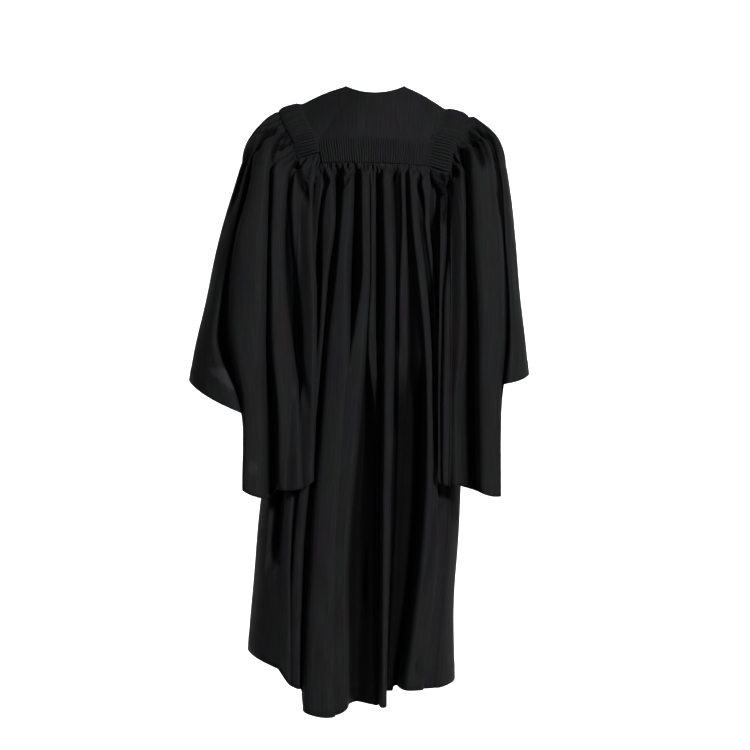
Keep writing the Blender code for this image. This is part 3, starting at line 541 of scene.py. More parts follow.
def add_cloth(name, node, grid, material, closed=False, painted_backlight=0.0, painted_shade=0.0, cut=None):
    """Cloth piece on a grid of points, with its real thickness, in place of a solid."""
    mesh = grid_mesh(name, grid, closed, {"painted_backlight": painted_backlight, "painted_shade": painted_shade}, cut)
    mesh.materials.append(material)
    piece = bpy.data.objects.new(name, mesh)
    bpy.context.scene.collection.objects.link(piece)
    wall = piece.modifiers.new("cloth", "SOLIDIFY")
    wall.thickness = CLOTH
    wall.offset = 0.0
    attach(piece, "root")
    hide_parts(node)
    return piece


# Material

def black_cloth(name):
    """Matt black woven cloth: fine vertical rib, uneven yarn, soft bloom where light grazes it; its colour
    carries painted shade in troughs and painted light where single cloth hangs free.
    """
    material = bpy.data.materials.new(name)
    material.use_nodes = True
    tree = material.node_tree
    shader = tree.nodes["Principled BSDF"]
    shader.inputs["Metallic"].default_value = 0.0
    shader.inputs["Specular IOR Level"].default_value = 0.05
    shader.inputs["Sheen Weight"].default_value = 0.012
    shader.inputs["Sheen Roughness"].default_value = 0.45
    shader.inputs["Sheen Tint"].default_value = (0.75, 0.77, 0.82, 1.0)

    def node(kind, **values):
        made = tree.nodes.new(kind)
        for key, value in values.items():
            if key in made.inputs:
                made.inputs[key].default_value = value
            else:
                setattr(made, key, value)
        return made

    place = node("ShaderNodeUVMap", uv_map="cloth")

    def stretched(scale):
        made = node("ShaderNodeMapping")
        made.inputs["Scale"].default_value = scale
        tree.links.new(place.outputs["UV"], made.inputs["Vector"])
        return made.outputs["Vector"]

    slubs = node("ShaderNodeTexNoise", Scale=1.0, Detail=3.0, Roughness=0.6)
    tree.links.new(stretched((420.0, 14.0, 1.0)), slubs.inputs["Vector"])
    cloud = node("ShaderNodeTexNoise", Scale=1.0, Detail=2.0, Roughness=0.5)
    tree.links.new(stretched((22.0, 9.0, 1.0)), cloud.inputs["Vector"])
    warp = node("ShaderNodeTexWave", wave_type="BANDS", bands_direction="X", Scale=1.0, Distortion=0.6)
    warp.inputs["Detail"].default_value = 1.0
    tree.links.new(stretched((150.0, 6.0, 1.0)), warp.inputs["Vector"])
    weft = node("ShaderNodeTexWave", wave_type="BANDS", bands_direction="Y", Scale=1.0, Distortion=0.4)
    tree.links.new(stretched((6.0, 240.0, 1.0)), weft.inputs["Vector"])

    ramp = node("ShaderNodeValToRGB")
    ramp.color_ramp.elements[0].position = 0.30
    ramp.color_ramp.elements[0].color = (0.0105, 0.0105, 0.0115, 1.0)
    ramp.color_ramp.elements[1].position = 0.72
    ramp.color_ramp.elements[1].color = (0.0190, 0.0190, 0.0200, 1.0)
    tree.links.new(slubs.outputs["Fac"], ramp.inputs["Fac"])
    tint = node("ShaderNodeMix", data_type="RGBA", blend_type="MULTIPLY")
    tint.inputs["Factor"].default_value = 0.35
    tree.links.new(ramp.outputs["Color"], tint.inputs[6])
    tree.links.new(cloud.outputs["Color"], tint.inputs[7])
    # Painted light: the colour is made lighter where light shines through single cloth hanging free
    painted_backlight = node("ShaderNodeAttribute", attribute_name="painted_backlight")
    painted_backlight_mix = node("ShaderNodeMix", data_type="RGBA", blend_type="MIX")
    painted_backlight_mix.inputs[7].default_value = (0.040, 0.041, 0.044, 1.0)
    tree.links.new(painted_backlight.outputs["Fac"], painted_backlight_mix.inputs["Factor"])
    tree.links.new(tint.outputs[2], painted_backlight_mix.inputs[6])
    # Painted shade: the colour is darkened in valleys, troughs and grooves, where shadow falls
    painted_shade = node("ShaderNodeAttribute", attribute_name="painted_shade")
    painted_shade_mix = node("ShaderNodeMix", data_type="RGBA", blend_type="MIX")
    painted_shade_mix.inputs[7].default_value = (0.0010, 0.0010, 0.0012, 1.0)
    tree.links.new(painted_shade.outputs["Fac"], painted_shade_mix.inputs["Factor"])
    tree.links.new(painted_backlight_mix.outputs[2], painted_shade_mix.inputs[6])
    tree.links.new(painted_shade_mix.outputs[2], shader.inputs["Base Color"])

    rough = node("ShaderNodeMapRange")
    rough.inputs["To Min"].default_value = 0.74
    rough.inputs["To Max"].default_value = 0.94
    tree.links.new(cloud.outputs["Fac"], rough.inputs["Value"])
    tree.links.new(rough.outputs["Result"], shader.inputs["Roughness"])

    yarn = node("ShaderNodeMath", operation="ADD")
    tree.links.new(warp.outputs["Fac"], yarn.inputs[0])
    tree.links.new(weft.outputs["Fac"], yarn.inputs[1])
    raised = node("ShaderNodeMath", operation="MULTIPLY_ADD")
    raised.inputs[1].default_value = 0.25
    tree.links.new(yarn.outputs["Value"], raised.inputs[0])
    tree.links.new(slubs.outputs["Fac"], raised.inputs[2])
    bump = node("ShaderNodeBump", Strength=0.35, Distance=0.0005)
    tree.links.new(raised.outputs["Value"], bump.inputs["Height"])
    tree.links.new(bump.outputs["Normal"], shader.inputs["Normal"])
    return material


CLOTH_BLACK = black_cloth("gown_cloth")


# Creases on the cloth: the line that each runs along (place across, height), its half width, and
# how far it stands out (below 0, goes in); start is its strength where it begins
Crease = namedtuple("Crease", "line width rise start")
BACK_CREASES = (
    Crease(((0.042, -0.185), (0.053, -0.200), (0.063, -0.217)), 0.0028, -0.006, 0.6),
    Crease(((0.090, -0.194), (0.096, -0.217), (0.101, -0.242)), 0.0036, -0.007, 0.6),
    Crease(((-0.082, -0.198), (-0.086, -0.217), (-0.092, -0.250), (-0.094, -0.279)), 0.0034, -0.007, 0.3),
    Crease(((-0.065, -1.099), (-0.075, -1.114), (-0.087, -1.126), (-0.103, -1.152)), 0.0030, -0.004, 0.2),
    Crease(((0.059, -0.970), (0.060, -1.010), (0.058, -1.050)), 0.0060, 0.0015, 0.0),
    Crease(((0.024, -0.860), (0.028, -0.960), (0.026, -1.080)), 0.0110, -0.008, 0.0),
    Crease(((-0.146, -0.785), (-0.110, -0.842), (-0.104, -0.899), (-0.0945, -0.955), (-0.081, -1.012),
            (-0.070, -1.050)), 0.0075, -0.003, 0.6),
)
SLEEVE_CREASES = {
    1: (
        Crease(((0.200, -0.086), (0.215, -0.107), (0.222, -0.130), (0.227, -0.158)), 0.0065, -0.012, 0.8),
        Crease(((0.188, -0.075), (0.196, -0.092), (0.202, -0.109)), 0.0036, -0.007, 0.8),
        Crease(((0.174, -0.094), (0.186, -0.111), (0.191, -0.132), (0.195, -0.155), (0.197, -0.180)),
               0.0042, -0.010, 0.9),
        Crease(((0.171, -0.109), (0.178, -0.125), (0.184, -0.148)), 0.0040, -0.007, 0.7),
        Crease(((0.167, -0.104), (0.167, -0.123)), 0.0024, -0.004, 0.6),
        Crease(((0.159, -0.107), (0.153, -0.123), (0.151, -0.140), (0.149, -0.165), (0.141, -0.194),
                (0.130, -0.228), (0.122, -0.265)), 0.0062, -0.013, 0.8),
        Crease(((0.161, -0.170), (0.163, -0.195), (0.165, -0.232), (0.165, -0.272)), 0.0034, -0.009, 0.2),
        Crease(((0.232, -0.117), (0.245, -0.148), (0.255, -0.178), (0.264, -0.213), (0.273, -0.251),
                (0.281, -0.280)), 0.0068, -0.008, 0.3),
        Crease(((0.209, -0.078), (0.219, -0.092), (0.228, -0.105)), 0.0030, -0.004, 0.6),
        Crease(((0.148, -0.520), (0.130, -0.597), (0.120, -0.655)), 0.0075, -0.005, 0.0),
    ),
    -1: (
        Crease(((-0.182, -0.096), (-0.188, -0.113), (-0.194, -0.136), (-0.202, -0.161), (-0.206, -0.190)),
               0.0075, -0.013, 0.5),
        Crease(((-0.190, -0.094), (-0.200, -0.113), (-0.209, -0.136), (-0.217, -0.161), (-0.221, -0.185)),
               0.0034, -0.007, 0.7),
        Crease(((-0.178, -0.080), (-0.190, -0.095)), 0.0030, -0.005, 0.8),
        Crease(((-0.196, -0.082), (-0.206, -0.098), (-0.214, -0.113), (-0.223, -0.136), (-0.229, -0.165),
                (-0.231, -0.190)), 0.0034, -0.008, 0.7),
        Crease(((-0.213, -0.092), (-0.226, -0.111), (-0.236, -0.136), (-0.241, -0.159)), 0.0042, -0.008, 0.5),
        Crease(((-0.165, -0.136), (-0.167, -0.155), (-0.171, -0.178), (-0.173, -0.213), (-0.172, -0.260)),
               0.0034, -0.009, 0.8),
        Crease(((-0.147, -0.151), (-0.151, -0.174), (-0.153, -0.203)), 0.0045, -0.008, 0.7),
        Crease(((-0.130, -0.174), (-0.132, -0.213), (-0.132, -0.255), (-0.126, -0.300)), 0.0050, -0.012, 0.8),
        Crease(((-0.106, -0.172), (-0.116, -0.192), (-0.121, -0.212)), 0.0055, -0.010, 0.8),
        Crease(((-0.230, -0.203), (-0.238, -0.232), (-0.242, -0.280)), 0.0075, -0.004, 0.0),
    ),
}


def crease_relief(creases, across, height):
    """Soft ridges and troughs along the creases' lines, as one height map."""
    relief = np.zeros_like(height)
    for crease in creases:
        line = np.array(crease.line)
        marks = np.concatenate([[0.0], np.cumsum(np.linalg.norm(np.diff(line, axis=0), axis=1))])
        nearest = np.full(height.shape, np.inf)
        share = np.zeros(height.shape)
        for start, end, mark, length in zip(line[:-1], line[1:], marks, np.diff(marks)):
            way = (end - start) / length
            run = np.clip((across - start[0]) * way[0] + (height - start[1]) * way[1], 0.0, length)
            away = np.hypot(across - start[0] - way[0] * run, height - start[1] - way[1] * run)
            share = np.where(away < nearest, (mark + run) / marks[-1], share)
            nearest = np.minimum(nearest, away)
        strength = np.minimum(crease.start + ease(share / 0.3), 1.0) * ease((1.0 - share) / 0.45)
        relief = relief + crease.rise * strength * np.exp(-(nearest / crease.width) ** 2)
    return relief


def gather_relief(across, fallen, gathers, seed):
    """Gathers that start at a gauged edge and die away below it, as one height map."""
    relief = np.zeros(fallen.shape)
    for layer, gather in enumerate(gathers):
        number = across / gather.pitch
        number = number + 0.22 * np.sin(number * 1.3 + seed) + 0.15 * np.sin(number * 0.47 + layer)
        sway = gather.lean * np.sin(number * 0.31 + seed) * fallen / gather.pitch
        uneven = 1.0 + 0.35 * np.sin(number * 1.9 + seed) + 0.25 * np.sin(number * 0.7 + layer)
        reach = gather.length * (1.0 + 0.4 * np.sin(number * 0.83 + seed))
        ripple = np.sin(math.pi * (number + sway)) ** 2 - 0.6
        relief = relief + gather.rise * uneven * ripple * np.exp(-(fallen / reach) ** 2)
    return relief


def hem_relief(hem, height, depth):
    """Doubled cloth above a hem, ending in a soft step."""
    above = height - hem
    return HEM_STEP * (1.0 - ease((above - depth + 0.0015) / 0.003))


def make_panel(folds, heights, top, facing, seams, gathers, creases, seed):
    """Folded panel hung on the trunk's section, with gathers below its upper edge."""
    widths = [fold.plus[-1] - fold.minus[-1] for fold in folds]
    columns = panel_columns(folds, widths, FOLD_COLUMNS)
    hems = fold_hems(folds, columns, SMOOTH_HEMS if facing > 0 else ())

    def shape(height):
        ends = [side and side * trunk_side(side, height) for side in seams]
        changes = (BACK_FADES, BACK_JOINS) if facing > 0 else ()
        return fold_shape(folds, heights, columns, height, ends, PANEL_DEEPEST, *changes)

    high = np.full(len(hems), float(heights[0]))
    for _ in range(6):
        high = top(shape(high)[0])
    share = (np.arange(PANEL_ROWS) / (PANEL_ROWS - 1)) ** ROW_CLOSING
    share[-8:] = np.linspace(share[-9], 1.0, 9)[1:]
    height = high + (hems - high) * share[:, None]
    x, rise = shape(height)
    sharp = soften(rise, 2)
    blunt = soften(sharp, BLUNT_TIMES)
    low = ease((BLUNT_FROM[0] - height) / (BLUNT_FROM[0] - BLUNT_FROM[1]))
    rise = sharp + (blunt - sharp) * low
    place, out = trunk_place(x, height, facing)
    drop = high - height
    grown = ease(drop / FOLD_START)
    height = height + TUCK * np.exp(-drop / TUCK)
    place[..., 2] = height
    out = np.stack([out[..., 0] * SIDE_PUSH, out[..., 1], 0 * x], axis=-1)
    grid = place + out * (rise * grown)[..., None]
    if facing < 0:
        grid[..., 1] -= SEAM
        edge = 0 if seams[0] else -1
        grid[:, edge] += np.array([-TUCK_IN * seams[edge], SIDE_LAP, 0.0])
    normal = way_out(grid, False)
    if (normal * out).sum() < 0:
        normal = -normal
    detail = WOBBLE * waves(x * 3.0, height, seed, 0.16) * grown
    detail = detail + gather_relief(np.abs(x[0] - x[0, 0]), drop, gathers, seed) * ease(drop / 0.006)
    detail = detail - TUCK_IN * np.exp(-(drop / 0.004) ** 2)
    pressed = crease_relief(creases, x, height)
    detail = detail + pressed + hem_relief(hems, height, HEM_LINE["panel"])
    # Painted shade: the colour is darkened in deep valleys and crease troughs, for the shadow there
    painted_shade = np.maximum(painted_shade_share(rise * grown, PAINTED_SHADE_AT["panel"]), painted_shade_share(pressed, CREASE_PAINTED_SHADE_AT))
    return grid + normal * detail[..., None], painted_shade, hems


def painted_shade_share(relief, darkest):
    """Painted shade at the bottom of a trough, darkening the colour where shadow falls: 0 where the cloth
    stands out, up to the greatest share.
    """
    return PAINTED_SHADE_MOST * ease(-relief / darkest)


def back_top(x):
    under_band = band_edge(x, BAND_FOOT)
    return np.where(np.abs(x) < ARMHOLE_OUT[1][0], under_band, armhole_height(x, 1)) - SEAM


def front_top(x):
    return np.minimum(YOKE_FRONT, armhole_height(x, -1)) - SEAM


def front_edge(side, share, height):
    seam = trunk_side(side, height)
    down = (FRONT_HEIGHTS[0] - height) / (FRONT_HEIGHTS[0] - FRONT_HEIGHTS[-1])
    opening = FRONT_GAP_TOP + (FRONT_GAP_HEM - FRONT_GAP_TOP) * down
    return side * (seam + (opening - seam) * share)


def front_folds(side):
    side_hem = BACK_FOLDS[0].hem_plus if side > 0 else BACK_FOLDS[-1].hem_minus
    shares = [sum(FRONT_SHARES[:number]) for number in range(len(FRONT_SHARES) + 1)]
    folds = []
    for number, (near, far) in enumerate(zip(shares, shares[1:])):
        room = (far - near) * (1.0 - FRONT_FOLD_FILL) / 2
        ends = (near + room if number else 0.0, far - room if number + 1 < len(FRONT_SHARES) else 1.0)
        edges = [tuple(float(front_edge(side, end, height)) for height in FRONT_HEIGHTS) for end in ends]
        hems = [float(side_hem + (FRONT_HEM - side_hem) * ease(2 * end)) for end in ends]
        if side < 0:
            edges.reverse()
            hems.reverse()
        folds.append(Fold(edges[0], edges[1], FRONT_LIFT, hems[0], hems[1], NARROW))
    return tuple(folds[::side])


def head_edges(side, count):
    """Inner and outer edge of a gauged sleeve head, from the back over the shoulder."""
    foot = HEAD_FOOT[side]
    under_back = trunk_skin(side * (band_side(side, foot) + SEAM), foot, 1)
    under_front = trunk_skin(side * (SEAM_FRONT_OUT + 2 * SEAM), YOKE_FRONT, -1)
    inner = curve_through([under_back] + list(SEAM_LINE[side]) + [under_front], count)
    outward, down = HEAD_SLANT
    reach = np.stack([np.full(count, side * outward), -HEAD_WRAP * inner[:, 1], np.full(count, down)], -1)
    return inner, inner + HEAD_DEPTH * reach


def pleat_profile(phase, seed):
    """Round cartridge pleats with tight grooves between them, each a little different."""
    dice = np.random.default_rng(seed)
    bends = dice.uniform(-0.14, 0.14, 400)
    heights = dice.uniform(0.78, 1.12, 400)
    number = np.floor(phase).astype(int)
    share = phase - number
    share = np.clip(share + bends[number] * np.sin(math.pi * share) ** 2, 0.0, 1.0)
    return heights[number] * np.abs(np.sin(math.pi * share)) ** 0.95


def make_head(side):
    count = HEAD_RIBS * PLEAT_STEPS + 1
    inner, outer = head_edges(side, count)
    inner = inner + np.array([side * CURVED_SEAM * 0.5, 0.0, 0.0])
    heart = np.array([side * HEART[0], 0.0, HEART[1]])
    shares = np.linspace(0.0, 1.0, 22)[:, None, None]
    grid = inner * (1 - shares) + outer * shares
    out = grid - heart
    out = out / np.linalg.norm(out, axis=-1, keepdims=True)
    phase = np.linspace(0.0, HEAD_RIBS - 1e-6, count)
    sway = 0.22 * np.sin(shares[..., 0] * 3.0 + phase * 0.35) * shares[..., 0] * (1 - shares[..., 0]) * 4
    rib = pleat_profile(np.clip(phase + sway, 0, HEAD_RIBS - 1e-6), 3 + side)
    opening = 1.0 - 0.65 * ease((shares[..., 0] - 0.7) * 3.3)
    ends = ease(shares[..., 0] * 9)
    rise = HEAD_SWELL * np.sin(math.pi * shares[..., 0]) + HEAD_PLEAT * rib * opening * (0.35 + 0.65 * ends)
    grid = grid + out * rise[..., None]
    across = (inner - outer) / np.linalg.norm(inner - outer, axis=-1, keepdims=True)
    under_yoke = grid[0] + SIDE_TUCK * across - TUCK_IN * 1.4 * out[0]
    # Painted shade in the grooves between pleats, for the shadow there
    groove_shade = GROOVE_PAINTED_SHADE * np.clip(1.2 - 1.5 * rib, 0.0, 1.0) * ends * (0.5 + 0.5 * opening)
    return np.concatenate([under_yoke[None], grid]), np.concatenate([groove_shade[:1], groove_shade])


def make_band():
    count = BAND_RIBS * PLEAT_STEPS + 1
    shares = np.linspace(0.0, 1.0, 22)[:, None]
    across = np.linspace(0.0, 1.0, count)
    top = BAND_TOP_OUT[1] - (BAND_TOP_OUT[1] + BAND_TOP_OUT[-1]) * across
    foot = BAND_FOOT_OUT[1] - (BAND_FOOT_OUT[1] + BAND_FOOT_OUT[-1]) * across
    x = top + (foot - top) * shares
    height = band_edge(x, YOKE_HEM) - SEAM + (BAND_FOOT - YOKE_HEM + SEAM) * shares
    phase = across * (BAND_RIBS - 1e-6)
    sway = 0.20 * np.sin(shares * 2.6 + phase * 0.5) * shares * (1 - shares) * 4
    rib = pleat_profile(np.clip(phase + sway, 0, BAND_RIBS - 1e-6), 11)
    ends = ease(shares * 9)
    rise = PLEAT * rib * (0.35 + 0.65 * ends) - TUCK_IN * np.exp(-(shares / 0.06) ** 2)
    height = height + TUCK * np.exp(-shares / 0.06)
    run_on = SIDE_TUCK * np.array([1.0, -1.0])
    x = np.hstack([x[:, :1] + run_on[0], x, x[:, -1:] + run_on[1]])
    height = np.hstack([height[:, :1], height, height[:, -1:]])
    rise = np.pad(rise, ((0, 0), (1, 1)), constant_values=-TUCK_IN * 1.4)
    # Painted shade in the grooves between pleats, for the shadow there
    groove_shade = 0.6 * GROOVE_PAINTED_SHADE * np.clip(1.0 - 1.5 * rib, 0.0, 1.0) * ends
    return trunk_skin(x, height, 1, rise), np.pad(groove_shade, ((0, 0), (1, 1)))


def make_yoke():
    """Plain yoke over both shoulders, from the same lines as its solid."""
    halves = []
    for side in (1, -1):
        seam = SEAM_LINE[side]
        corner = seam[0][0]
        hem_x = corner * np.linspace(0.0, 1.0, 25)[:-1]
        bottom = trunk_skin(hem_x, band_edge(hem_x, YOKE_HEM), 1)
        front_corner = trunk_skin(side * SEAM_FRONT_OUT, YOKE_FRONT, -1)
        whole_seam = curve_through(list(seam) + [front_corner], 57)
        top = int(np.argmin(np.abs(whole_seam[:, 1])))
        neck_end = trunk_skin(side * FRONT_GAP_TOP, YOKE_FRONT, -1)
        neck = [(side * x, y, z) for x, y, z in NECK] + [neck_end]
        behind = curve_through(neck[:NECK_TOP + 1], 24 + top + 1)
        before = curve_through(neck[NECK_TOP:], 57 - top)
        halves.append((np.vstack([behind, before[1:]]), np.vstack([bottom, whole_seam])))
    neck = np.vstack([halves[0][0][::-1], halves[1][0][1:]])
    outer = np.vstack([halves[0][1][::-1], halves[1][1][1:]])
    shares = np.linspace(0.0, 1.0, 40)[:, None, None]
    grid = neck * (1 - shares) + outer * shares
    out = grid - np.array([0.0, 0.0, HEART[1]])
    out = out / np.linalg.norm(out, axis=-1, keepdims=True)
    share = shares[..., 0]
    crown = np.sin(math.pi * share)
    uneven = YOKE_WOBBLE * waves(grid[..., 0], grid[..., 1] + grid[..., 2], 5, 0.09) * crown
    rolled = NECK_ROLL * np.exp(-(share / 0.03) ** 2) + YOKE_ROLL * np.exp(-((1 - share) / 0.04) ** 2)
    return grid + out * (YOKE_SWELL * crown + uneven + rolled)[..., None]


# Sleeves

def joined_marks(lines, count):
    """Whole line through joined lines, and the length along it of each of the solid's columns."""
    lengths = [lengths_of(line)[-1] for line in lines]
    steps = [max(1, round((count - 1) * length / sum(lengths))) for length in lengths]
    steps[lengths.index(max(lengths))] += count - 1 - sum(steps)
    marks, start = [], 0.0
    for length, step in zip(lengths, steps):
        marks += list(start + length * np.arange(step) / step)
        start += length
    whole = np.vstack([np.asarray(line)[:-1] for line in lines] + [np.asarray(lines[-1])[-1:]])
    return whole, np.array(marks + [start])


def sleeve_starts(side, shown_cad, shown_count, hidden_shares):
    """Start of every column of a sleeve: along its gauged head and the band, then the armhole."""
    inner, outer = head_edges(side, 2 * HEAD_RIBS + 1)
    edge = outer + CURVED_SEAM * 0.6 * np.array([side, 0.0, 0.0])
    top = int(np.argmin(np.abs(outer[:, 1])))
    feet = []
    for last, before in ((0, 1), (-1, -2)):
        way = outer[last] - outer[before]
        way = CURVED_SEAM * 0.6 * way / np.linalg.norm(way)
        feet.append([edge[last] + way]
                    + [outer[last] * (1 - share) + inner[last] * share + way for share in (0.4, 0.9)])
    foot = float(band_edge(side * BAND_FOOT_OUT[side], BAND_FOOT))
    beside = [trunk_skin(side * (band_side(side, level) + CURVED_SEAM), level, 1, LAP)
              for level in ((foot + HEAD_FOOT[side]) / 2, foot)]
    beside = [feet[0][-1]] + beside
    shown = [np.vstack([edge[top:0:-1], feet[0][:1]]), np.array(feet[0]), np.array(beside)]
    armhole = {facing: [trunk_skin(side * x, armhole_height(side * x, facing), facing, LAP)
                        for x in UNDERARM_OUT[facing]] for facing in (1, -1)}
    low = float(armhole_height(side * UNDERARM_OUT[1][-1], 1))
    underarm = np.array([side * (float(trunk_side(side, low)) + LAP), 0.0, low])
    unseen = [np.array([beside[-1]] + armhole[1] + [underarm]),
              np.array([underarm] + armhole[-1][::-1] + feet[1][2:]),
              np.array(feet[1][::-1]), np.vstack([feet[1][:1], edge[-2:top - 1:-1]])]
    line, marks = joined_marks(shown, shown_count)
    near = along(line, np.interp(shown_cad, np.arange(shown_count), marks) / marks[-1])
    line, marks = joined_marks(unseen, HIDDEN_COLUMNS + 2)
    far = along(line, np.interp(hidden_shares * (HIDDEN_COLUMNS + 1), np.arange(HIDDEN_COLUMNS + 2), marks)
                / marks[-1])
    return near, far


def shown_place(side, folds, columns, height, grown):
    """Near side of a sleeve and the rise of its folds; the last axis runs over the columns."""
    inner, outer, back, front = read_rows(TUBE[side], height)
    middle, half = (inner + outer) / 2, (outer - inner) / 2
    centre, depth = (back + front) / 2, (back - front) / 2
    x, rise = fold_shape(folds, SLEEVE_HEIGHTS, columns, height, (outer, inner), SLEEVE_DEEPEST,
                         (), SLEEVE_JOINS[side])
    across = np.clip((x - middle) / half, -1.0, 1.0)
    x = middle + across * half
    y = centre + depth * (1.0 - np.abs(across) ** TUBE_SQUARE) ** (1.0 / TUBE_SQUARE)
    on_trunk = trunk_place(side * x, height, 1)[0][..., 1] + OUTER_CLEAR * grown
    blend = SOFT_MEETING * grown
    higher = (y + on_trunk + np.sqrt((y - on_trunk) ** 2 + blend ** 2)) / 2
    y = np.where(x < trunk_side(side, height), higher, y)
    return np.stack([side * x, y, height + 0 * x], axis=-1), rise


def hidden_place(side, share, height, edge_in, edge_out, clear):
    """Far side of a sleeve at one share of its way round, at several heights."""
    inner, outer, back, front = read_rows(TUBE[side], height)
    middle, half = (inner + outer) / 2, (outer - inner) / 2
    centre, depth = (back + front) / 2, (back - front) / 2
    steps = np.arange(LOOP_STEPS) / LOOP_STEPS
    goal = np.stack([side * inner, centre, height], axis=-1)
    path = edge_in[:, None] * (1 - steps)[None, :, None] + goal[:, None] * steps[None, :, None]
    turn = math.pi - math.pi * np.arange(LOOP_STEPS + 1) / LOOP_STEPS
    across = np.sign(np.cos(turn)) * np.abs(np.cos(turn)) ** (2 / TUBE_SQUARE)
    down = np.abs(np.sin(turn)) ** (2 / TUBE_SQUARE)
    round_it = np.stack([side * (middle[:, None] + half[:, None] * across),
                         centre[:, None] - depth[:, None] * down,
                         height[:, None] + 0 * across], axis=-1)
    path = np.concatenate([path, round_it], axis=1)
    path = clear_of_trunk(path, height[:, None], clear[:, None])
    path[:, -1] = edge_out
    points = np.array([along(line, share) for line in path])
    heart = np.stack([side * middle, centre, height], axis=-1)
    out = points - heart
    out = out / np.linalg.norm(out, axis=-1, keepdims=True)
    cad_share = max(share * (HIDDEN_COLUMNS + 1) - 1.0, 0.0) / HIDDEN_COLUMNS
    wave = math.sin(math.pi * HIDDEN_FOLDS * cad_share) ** 2 * float(ease(2 * (cad_share - HIDDEN_FROM)))
    return points + out * HIDDEN_RISE * wave


def inner_clear(drop):
    return LAP + (INNER_CLEAR - LAP) * ease(drop / FOLD_GROW)


def make_sleeve(side, seed):
    folds = SLEEVE_FOLDS[side]
    columns = panel_columns(folds, [fold.plus[-1] - fold.minus[-1] for fold in folds], SLEEVE_COLUMNS)
    shown_hems = fold_hems(folds, columns)
    shares = np.arange(1, HIDDEN_FINE + 1) / (HIDDEN_FINE + 1)
    turn = ease((1 + HEM_TURN) * (1 - shares) - HEM_TURN)
    hidden_hems = folds[0].hem_plus + (folds[-1].hem_minus - folds[0].hem_plus) * turn
    cad_count = sum(len(fold.steps) + 1 for fold in folds) + 1
    near, far = sleeve_starts(side, columns.cad, cad_count, shares)
    starts = np.vstack([near, far])
    hems = np.concatenate([shown_hems, hidden_hems])
    shoulder = ease((starts[:, 2] - SHOULDER_FROM) / SHOULDER_OVER)
    free = starts[:, 2] - CAP_DROP - CAP_DROP_MORE * shoulder
    t = np.arange(HANG_ROWS + 1) / HANG_ROWS
    height = free + (hems - free) * t[:, None]
    drop = starts[:, 2] - height
    grown = ease(drop / SLEEVE_GROW)
    shown = len(shown_hems)
    hanging = np.zeros(height.shape + (3,))
    hanging[:, :shown], rise = shown_place(side, folds, columns, height[:, :shown], grown[:, :shown])
    first = Columns(*(part[:1] for part in columns))
    last = Columns(*(part[-1:] for part in columns))
    for number, share in enumerate(shares):
        column = shown + number
        at = height[:, column:column + 1]
        edge_in = shown_place(side, folds, last, at, grown[:, column:column + 1])[0][:, 0]
        edge_out = shown_place(side, folds, first, at, grown[:, column:column + 1])[0][:, 0]
        hanging[:, column] = hidden_place(side, share, height[:, column], edge_in, edge_out,
                                          inner_clear(drop[:, column]))
    landing = hanging[0]
    reach = np.linalg.norm(landing - starts, axis=-1)
    leave = np.array(LEAVE_LOW) * (1 - shoulder[:, None]) + np.array(LEAVE_TOP[side]) * shoulder[:, None]
    leave = np.stack([side * leave[:, 0], leave[:, 1] * np.sign(starts[:, 1]), leave[:, 2]], axis=-1)
    leave = leave / np.linalg.norm(leave, axis=-1, keepdims=True) * reach[:, None]
    arrive = np.stack([0 * reach, 0 * reach, -reach], axis=-1)
    t = (np.arange(CAP_ROWS) / CAP_ROWS)[:, None, None]
    cap = (starts * (2 * t ** 3 - 3 * t * t + 1) + leave * (t ** 3 - 2 * t * t + t)
           + landing * (3 * t * t - 2 * t ** 3) + arrive * (t ** 3 - t * t))
    under = cap[1:, shown:]
    cap[1:, shown:] = clear_of_trunk(under, under[..., 2], inner_clear(starts[shown:, 2] - under[..., 2]))
    grid = np.concatenate([cap, hanging], axis=0)
    normal = way_out(grid, True)
    heart = grid.mean(axis=1, keepdims=True)
    if (normal * (grid - heart)).sum() < 0:
        normal = -normal
    fallen = lengths_between(grid)
    ridge = np.vstack([np.repeat(rise[:1], CAP_ROWS, axis=0), rise]) * ease(fallen[:, :shown] / CAP_GROW)
    towards = np.stack([normal[..., 0] * SLEEVE_PUSH, np.abs(normal[..., 1]), normal[..., 2]], axis=-1)
    grid[:, :shown] += towards[:, :shown] * soften(ridge, 2)[..., None]
    around = np.linspace(0.0, 1.0, grid.shape[1], endpoint=False)
    detail = WOBBLE * waves(around * 1.6, grid[..., 2], seed, 0.2) * ease(fallen / 0.1)
    freed = ease(fallen / 0.009)
    away = np.concatenate([lengths_of(near), lengths_of(near)[-1] + lengths_of(far)])
    gathers = gather_relief(away, fallen, SLEEVE_GATHERS, seed) * freed
    near_side = ease(grid[..., 1] / 0.02) * freed
    creases = np.zeros_like(fallen)
    for _ in range(CREASE_ROUNDS):
        moved = grid + normal * creases[..., None]
        found = crease_relief(SLEEVE_CREASES[side], moved[..., 0], moved[..., 2]) * near_side
        creases = (creases + found) / 2
    detail = detail + hem_relief(hems, grid[..., 2], HEM_LINE["sleeve"]) + gathers + creases
    detail = detail - TUCK_IN * (1.0 - freed)
    # Painted shade: the colour is darkened in gathers, creases and deep valleys, for the shadow there
    painted_shade = painted_shade_share(np.minimum(gathers + creases, 0.0), CREASE_PAINTED_SHADE_AT)
    painted_shade[:, :shown] = np.maximum(painted_shade[:, :shown], painted_shade_share(ridge, PAINTED_SHADE_AT["sleeve"]))
    grid = grid + normal * detail[..., None]
    under_edge = grid[0] - SLEEVE_TUCK * leave / reach_of(leave) - SLEEVE_TUCK_IN * normal[0]
    return np.concatenate([under_edge[None], grid]), np.concatenate([painted_shade[:1], painted_shade]), hems


def reach_of(ways):
    return np.maximum(np.linalg.norm(ways, axis=-1, keepdims=True), 1e-9)


